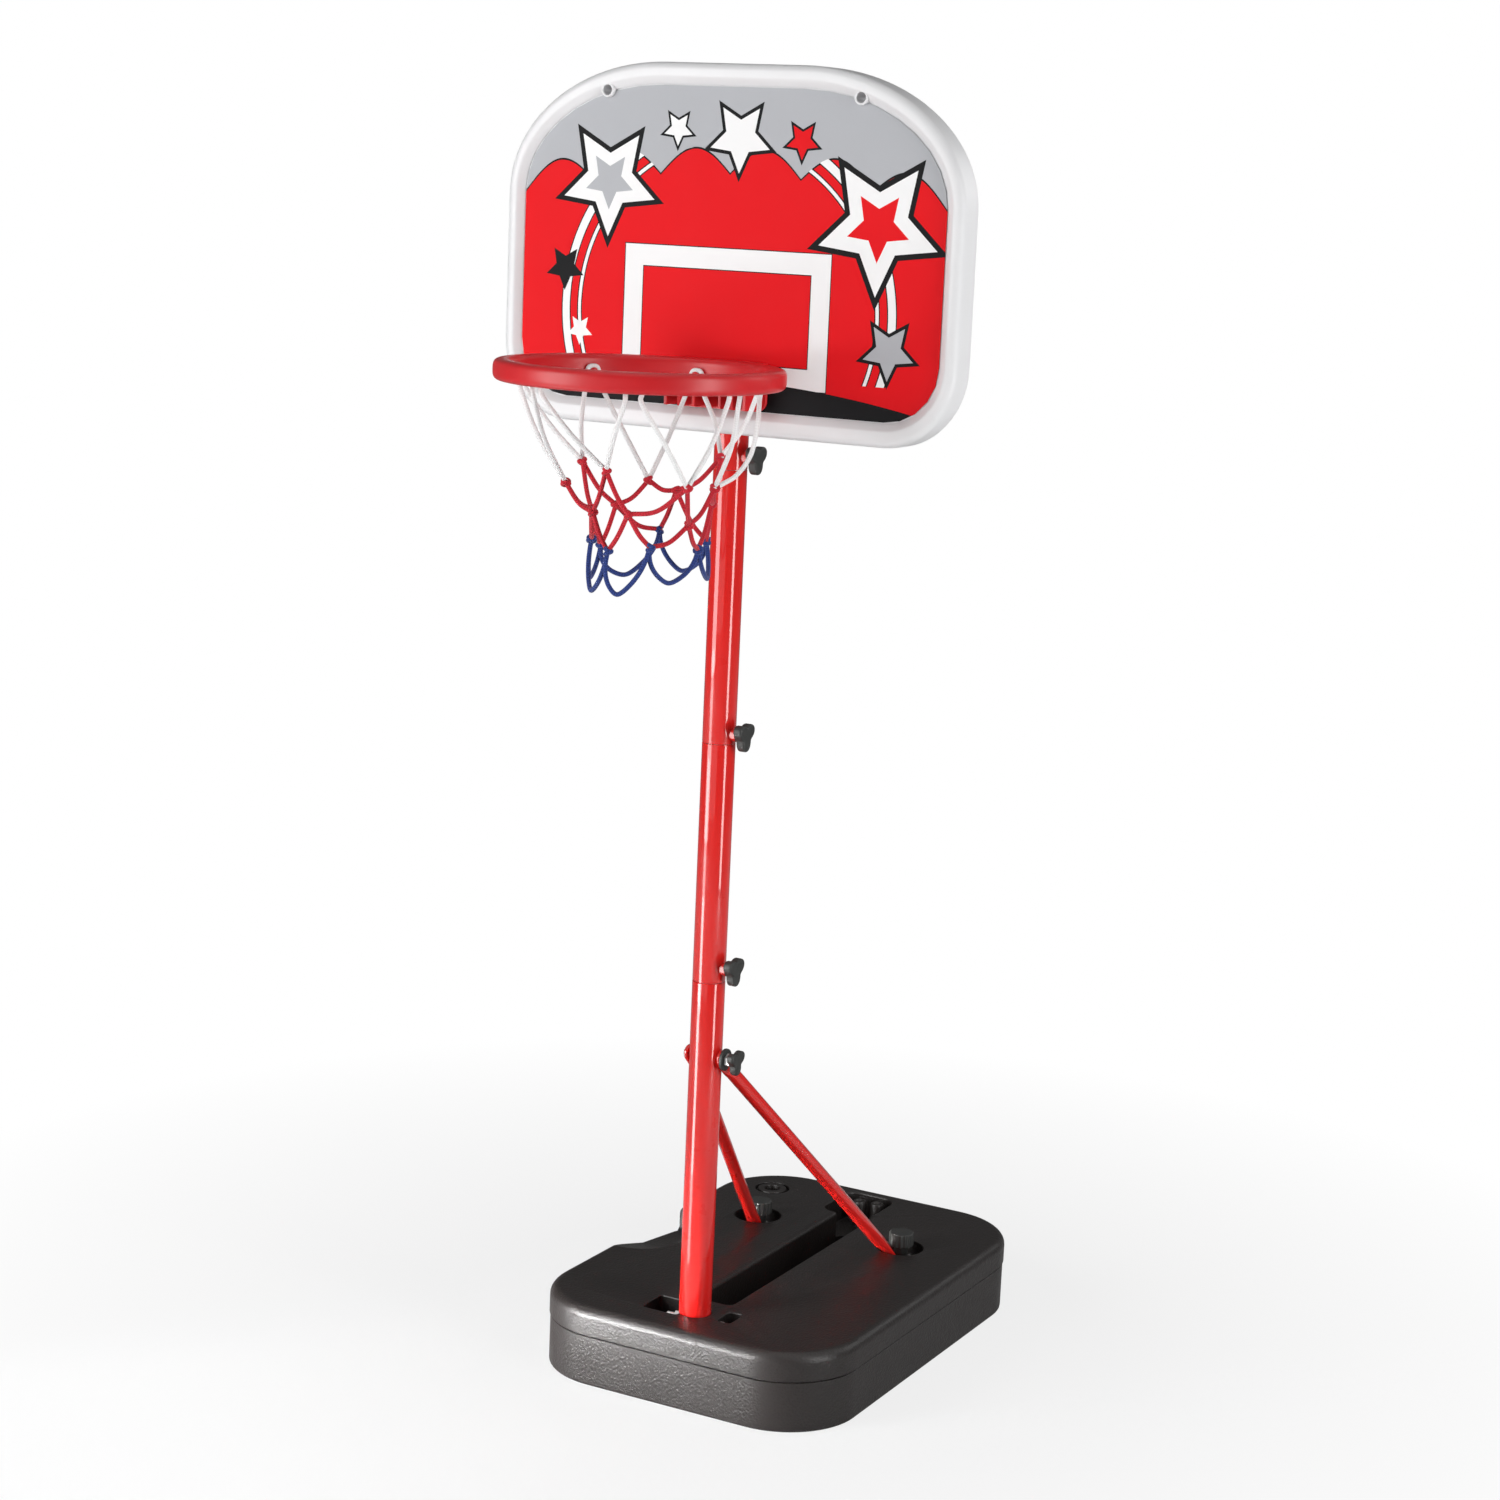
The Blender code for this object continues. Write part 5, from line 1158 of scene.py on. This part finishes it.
def make_ring():
    shelf_front = RING_CENTRE.y + HOOP_RADIUS * math.cos(math.asin(BRACKET_HALF_WIDTH / RING_OUTER_RADIUS))
    plate_middle = BRACKET_BACK - BRACKET_PLATE / 2
    shelf = block(
        (-BRACKET_HALF_WIDTH, shelf_front, BRACKET_TOP - BRACKET_PLATE),
        (BRACKET_HALF_WIDTH, plate_middle, BRACKET_TOP - 0.0002),
    )
    hoop_gap = straight_hole(0, RING_CENTRE.y, HOOP_RADIUS, BRACKET_BOTTOM - 0.01, BRACKET_TOP + 0.01, 128)
    boss = [(BRACKET_BOSS_RADIUS, BRACKET_BACK - BRACKET_BOSS_LENGTH), (BRACKET_BOSS_RADIUS, plate_middle)]
    shapes = [
        ring_hoop(),
        bracket_plate(),
        cut(shelf, hoop_gap),
        cut(row_of_ribs(), hoop_gap),
        hook_circle(hook_mesh()),
        along_y(boss, -BRACKET_BOSS_X, BRACKET_BOSS_Z, 32),
        along_y(boss, BRACKET_BOSS_X, BRACKET_BOSS_Z, 32),
    ]
    piece("ring_moulding", joined(shapes), RING_PLASTIC, "ring", 40)


# Net

def round_ring(degrees, radius_mm, height_mm):
    """A point by its angle round the ring, its radius and its height in millimetres."""
    angle = math.radians(degrees)
    radius = radius_mm / 1000
    return Vector((radius * math.cos(angle), RING_CENTRE.y + radius * math.sin(angle), height_mm / 1000))


def outward_at(point):
    """The level direction from the ring's axis to a point."""
    return Vector((point.x, point.y - RING_CENTRE.y, 0)).normalized()


def bowed(start, end):
    """The middle of a white strand, which bows outwards a little."""
    middle = (start + end) / 2
    return middle + outward_at(middle) * WHITE_BOW


def sagging(start, end):
    """The middle of a slack strand: the flatter the strand lies, the more it sags."""
    across = (end - start).to_2d().length
    return (start + end) / 2 - Vector((0, 0, across * RED_SAG))


def hook_loop(degrees):
    """The cord's way over one hook, from its left side to its right."""
    radius = CORD_ON_HOOK_RADIUS * 1000
    over = (HOOK_HEIGHT + HOOK_RADIUS + SEAT_GAP + CORD_RADIUS) * 1000
    beside = HOOK_HEIGHT * 1000
    side = ((1.15, radius - 1.5, beside - 12), (1, radius, beside - 4), (0.62, radius, over - 1.2))
    left = [round_ring(degrees - LOOP_HALF_WIDTH_DEG * share, *place) for share, *place in side]
    right = [round_ring(degrees + LOOP_HALF_WIDTH_DEG * share, *place) for share, *place in reversed(side)]
    return [*left, round_ring(degrees, radius, over), *right]


def smooth_path(points, per_span=8):
    """Points on a smooth curve through the given ones."""
    ends = [2 * points[0] - points[1], *points, 2 * points[-1] - points[-2]]
    path = []
    for a, b, c, d in zip(ends, ends[1:], ends[2:], ends[3:]):
        square = 2 * a - 5 * b + 4 * c - d
        cube = 3 * b - a - 3 * c + d
        for i in range(per_span):
            t = i / per_span
            path.append(0.5 * (2 * b + (c - a) * t + square * t**2 + cube * t**3))
    path.append(points[-1])
    return path


def cord_mesh(points, radius=CORD_RADIUS, sides=12):
    """A closed tube along a path, with u round it and v along it in metres."""
    bm = bmesh.new()
    layer = bm.loops.layers.uv.new("cord")
    angles = [2 * math.pi * k / sides for k in range(sides)]
    rings, lengths = [], []
    normal = None
    length = 0.0
    for i, point in enumerate(points):
        before, after = points[max(i - 1, 0)], points[min(i + 1, len(points) - 1)]
        tangent = (after - before).normalized()
        if normal is None:
            normal = tangent.orthogonal().normalized()
        normal = (normal - tangent * normal.dot(tangent)).normalized()
        side = tangent.cross(normal)
        length += (point - before).length
        lengths.append(length)
        spokes = [normal * math.cos(angle) + side * math.sin(angle) for angle in angles]
        rings.append([bm.verts.new(point + spoke * radius) for spoke in spokes])
    for j in range(len(rings) - 1):
        for k in range(sides):
            n = (k + 1) % sides
            face = bm.faces.new((rings[j][k], rings[j][n], rings[j + 1][n], rings[j + 1][k]))
            for loop, (u, v) in zip(face.loops, ((k, j), (k + 1, j), (k + 1, j + 1), (k, j + 1))):
                loop[layer].uv = (u / sides, lengths[v])
    for ring, centre in ((rings[0], points[0]), (rings[-1], points[-1])):
        tip = bm.verts.new(centre)
        for k in range(sides):
            bm.faces.new((ring[k], ring[(k + 1) % sides], tip))
    bmesh.ops.recalc_face_normals(bm, faces=bm.faces)
    return to_mesh(bm)


def knot(centre):
    """A knot: two crossed turns of cord wrapped round the place where the strands meet."""
    shapes = []
    down = Vector((0, 0, -1))
    outward = outward_at(centre)
    aside = outward.cross(down)
    for tilt, size, lift in ((0.55, 0.0026, KNOT_LIFT), (-0.55, 0.0024, -KNOT_LIFT)):
        turn = Matrix.Rotation(tilt, 3, outward)
        u, v = turn @ aside, turn @ outward
        middle = centre + turn @ down * lift
        loop = []
        for i in range(29):
            angle = 2 * math.pi * i / 28
            loop.append(middle + (u * math.cos(angle) + v * math.sin(angle)) * size)
        shapes.append(cord_mesh(loop, CORD_RADIUS * 0.92, 10))
    return shapes


def hanging_loop(start, end, low):
    """A loop that hangs from two knots, with a round bottom."""
    middle = (start + end) / 2
    half = (end - start) / 2
    points = []
    for i in range(13):
        across = -math.cos(math.pi * i / 12)
        depth = math.sin(math.pi * i / 12)
        points.append(middle + half * across * (1 - LOOP_PINCH * depth**4) + (low - middle) * depth)
    return points


def make_net():
    white, red, blue, lows = ([round_ring(*place) for place in level] for level in zip(*NET_COLUMNS))
    slack = [round_ring(*place) for place in SLACK_STRAND]
    white_cords, red_cords, blue_cords = [], [], []
    for i in range(COLUMNS):
        over = hook_loop(FIRST_HOOK_DEG + 360 * i / COLUMNS)
        before, after = white[i - 1], white[i]
        down_left = slack if i == SLACK_COLUMN else [bowed(over[0], before)]
        path = [before, *reversed(down_left), *over, bowed(over[-1], after), after]
        white_cords.append(cord_mesh(smooth_path(path)))
        for above in (before, after):
            red_cords.append(cord_mesh(smooth_path([above, sagging(above, red[i]), red[i]])))
        for below in (blue[i - 1], blue[i]):
            red_cords.append(cord_mesh(smooth_path([red[i], sagging(red[i], below), below])))
        blue_cords.append(cord_mesh(smooth_path(hanging_loop(blue[i - 1], blue[i], lows[i]), 4)))
    for centre in white + red:
        red_cords += knot(centre)
    for centre in blue:
        blue_cords += knot(centre)
    piece("net_white_cords", joined(white_cords), WHITE_CORD, "net", 60)
    piece("net_red_cords", joined(red_cords), RED_CORD, "net", 60)
    piece("net_blue_cords", joined(blue_cords), BLUE_CORD, "net", 60)


# Small parts

def make_small_parts():
    """The nodes that keep their CAD shape."""

    # A finish, how far the edges are broken, and the nodes
    rows = (
        (RED_PAINT, 0.0003, "lower_knob_boss middle_knob_boss upper_knob_boss left_brace right_brace"),
        (ZINC, 0.0003, "lower_neck middle_neck upper_neck lower_saddle upper_saddle"),
        (ZINC, 0.0003, "lower_clamp_stud middle_clamp_stud upper_clamp_stud pole_bolt pole_bolt_nut"),
        (ZINC, 0.0004, "brace_bolt brace_nut"),
        (ZINC, 0.0003, "left_foot_insert left_foot_stud left_foot_washer"),
        (ZINC, 0.0002, "ring_screw_left lower_saddle_screw_left upper_saddle_screw_left"),
        (ZINC, 0.0003, "right_foot_insert right_foot_stud right_foot_washer"),
        (ZINC, 0.0002, "ring_screw_right lower_saddle_screw_right upper_saddle_screw_right"),
        (KNOB_PLASTIC, 0.0005, "brace_washer"),
        (KNOB_PLASTIC, 0.0004, "stem_cap"),
        (RUBBER, 0.0002, "cap_seal"),
    )
    for finish, edge, nodes in rows:
        for node in nodes.split():
            hardware(node, finish, edge)
    sheet = frame["nodes"]["print_sheet"].data
    for i in range(len(sheet.materials)):
        sheet.materials[i] = PRINTED_FACE


# Camera, floor and light

def make_camera():
    cos_tilt = math.cos(CAMERA_TILT)
    back = Vector((math.sin(CAMERA_YAW) * cos_tilt, -math.cos(CAMERA_YAW) * cos_tilt, math.sin(CAMERA_TILT)))
    right = Vector((math.cos(CAMERA_YAW), math.sin(CAMERA_YAW), 0))
    up = back.cross(right)
    across = right * math.cos(CAMERA_ROLL) + up * math.sin(CAMERA_ROLL)
    upward = up * math.cos(CAMERA_ROLL) - right * math.sin(CAMERA_ROLL)
    data = bpy.data.cameras.new("camera")
    data.lens = CAMERA_LENS
    data.sensor_width = 36.0
    data.clip_end = 50.0
    camera = in_scene("camera", data)
    camera.matrix_world = at(*CAMERA_PLACE) @ Matrix((across, upward, back)).transposed().to_4x4()
    bpy.context.scene.camera = camera


def make_floor():
    """A pale floor that fades to plain white away from the stand, and keeps a soft shadow near it."""
    mesh = bpy.data.meshes.new("floor")
    corners = [(x * FLOOR_REACH, y * FLOOR_REACH, 0) for x, y in ((-1, -1), (1, -1), (1, 1), (-1, 1))]
    mesh.from_pydata(corners, [], [(0, 1, 2, 3)])
    floor = in_scene("floor", mesh)
    paint = Paint("pale_floor", Base_Color=(0.80, 0.80, 0.80, 1), Roughness=0.9, Specular_IOR_Level=0.1)
    x, y, _ = paint.axes(paint.place)
    back = y - FLOOR_CENTRE_Y
    away = (x * x + back * back).root()
    fade = FLOOR_GLOW + away.ramp(*FLOOR_FADE) * (1 - FLOOR_GLOW)
    ray = paint.node("ShaderNodeLightPath")
    glow = paint.node("ShaderNodeEmission", [(1, 1, 1, 1), 1.0])["Emission"]
    seen = fade * ray["Is Camera Ray"].most(ray["Is Transmission Ray"])
    matte = Wire(paint, paint.shader.outputs[0])
    mix = paint.node("ShaderNodeMixShader", [seen, matte, glow])["Shader"]
    paint.feed(paint.tree.nodes["Material Output"].inputs["Surface"], mix)
    mesh.materials.append(paint.material)


def make_world():
    """White behind the stand and overhead in what its metal mirrors, and a dimmer white that lights it."""
    world = bpy.data.worlds.new("studio")
    bpy.context.scene.world = world
    world.use_nodes = True
    nodes = Nodes(world.node_tree)
    dim = nodes.tree.nodes["Background"]
    nodes.feed(dim.inputs["Color"], (1, 1, 1, 1))
    nodes.feed(dim.inputs["Strength"], WORLD_LIGHT)
    bright = nodes.node("ShaderNodeBackground", {"Color": (1, 1, 1, 1)})["Background"]
    _, _, height = nodes.axes(nodes.node("ShaderNodeTexCoord")["Generated"])
    ray = nodes.node("ShaderNodeLightPath")
    seen = ray["Is Camera Ray"].most(ray["Is Glossy Ray"] * height.ramp(*CEILING))
    mix = nodes.node("ShaderNodeMixShader", [seen, Wire(nodes, dim.outputs[0]), bright])["Shader"]
    nodes.feed(nodes.tree.nodes["World Output"].inputs["Surface"], mix)


def soft_light(name, place, target, width, height, power, spread_deg=180, gloss_only=False):
    """A rectangular lamp. A gloss_only one is mirrored in shiny surfaces and adds no matte light."""
    data = bpy.data.lights.new(name, "AREA")
    data.shape = "RECTANGLE"
    data.size = width
    data.size_y = height
    data.energy = power
    data.spread = math.radians(spread_deg)
    lamp = in_scene(name, data)
    lamp.visible_diffuse = not gloss_only
    lamp.location = place
    lamp.rotation_euler = (Vector(place) - Vector(target)).to_track_quat("Z", "Y").to_euler()


def make_lights():
    soft_light("left_box", (-1.32, -1.88, 1.00), (0, 0, 1.0), 1.2, 1.9, 43)
    soft_light("left_reflector", (-0.33, -0.47, 0.27), (0, 0, 0.27), 0.18, 0.52, 1.5, gloss_only=True)
    soft_light("foot_reflector", (-0.143, -0.205, 0.19), (0, 0, 0.19), 0.078, 0.36, 0.5, gloss_only=True)
    soft_light("right_strip", (1.50, -0.30, 0.90), (0, 0, 0.9), 0.36, 1.75, 17)
    soft_light("front_box", (-0.2, -3.4, 0.72), (0, 0, 0.9), 3.2, 1.4, 9)
    soft_light("low_box", (-0.56, -0.66, 0.05), (-0.08, -0.05, 0.03), 0.4, 0.08, 0.9, spread_deg=26)
    soft_light("top_box", (0.2, -0.9, 2.8), (0, 0, 0.55), 1.6, 1.6, 3)
    soft_light("back_box", (1.7, 2.3, 1.9), (0, 0, 0.9), 1.5, 1.4, 15)


def main():
    bpy.context.scene.view_settings.view_transform = "Standard"
    make_camera()
    make_floor()
    make_world()
    make_lights()
    make_net()
    make_tank()
    make_fill_cap()
    make_poles()
    make_lobed_knobs()
    make_foot_knobs()
    make_board()
    make_ring()
    make_small_parts()


main()
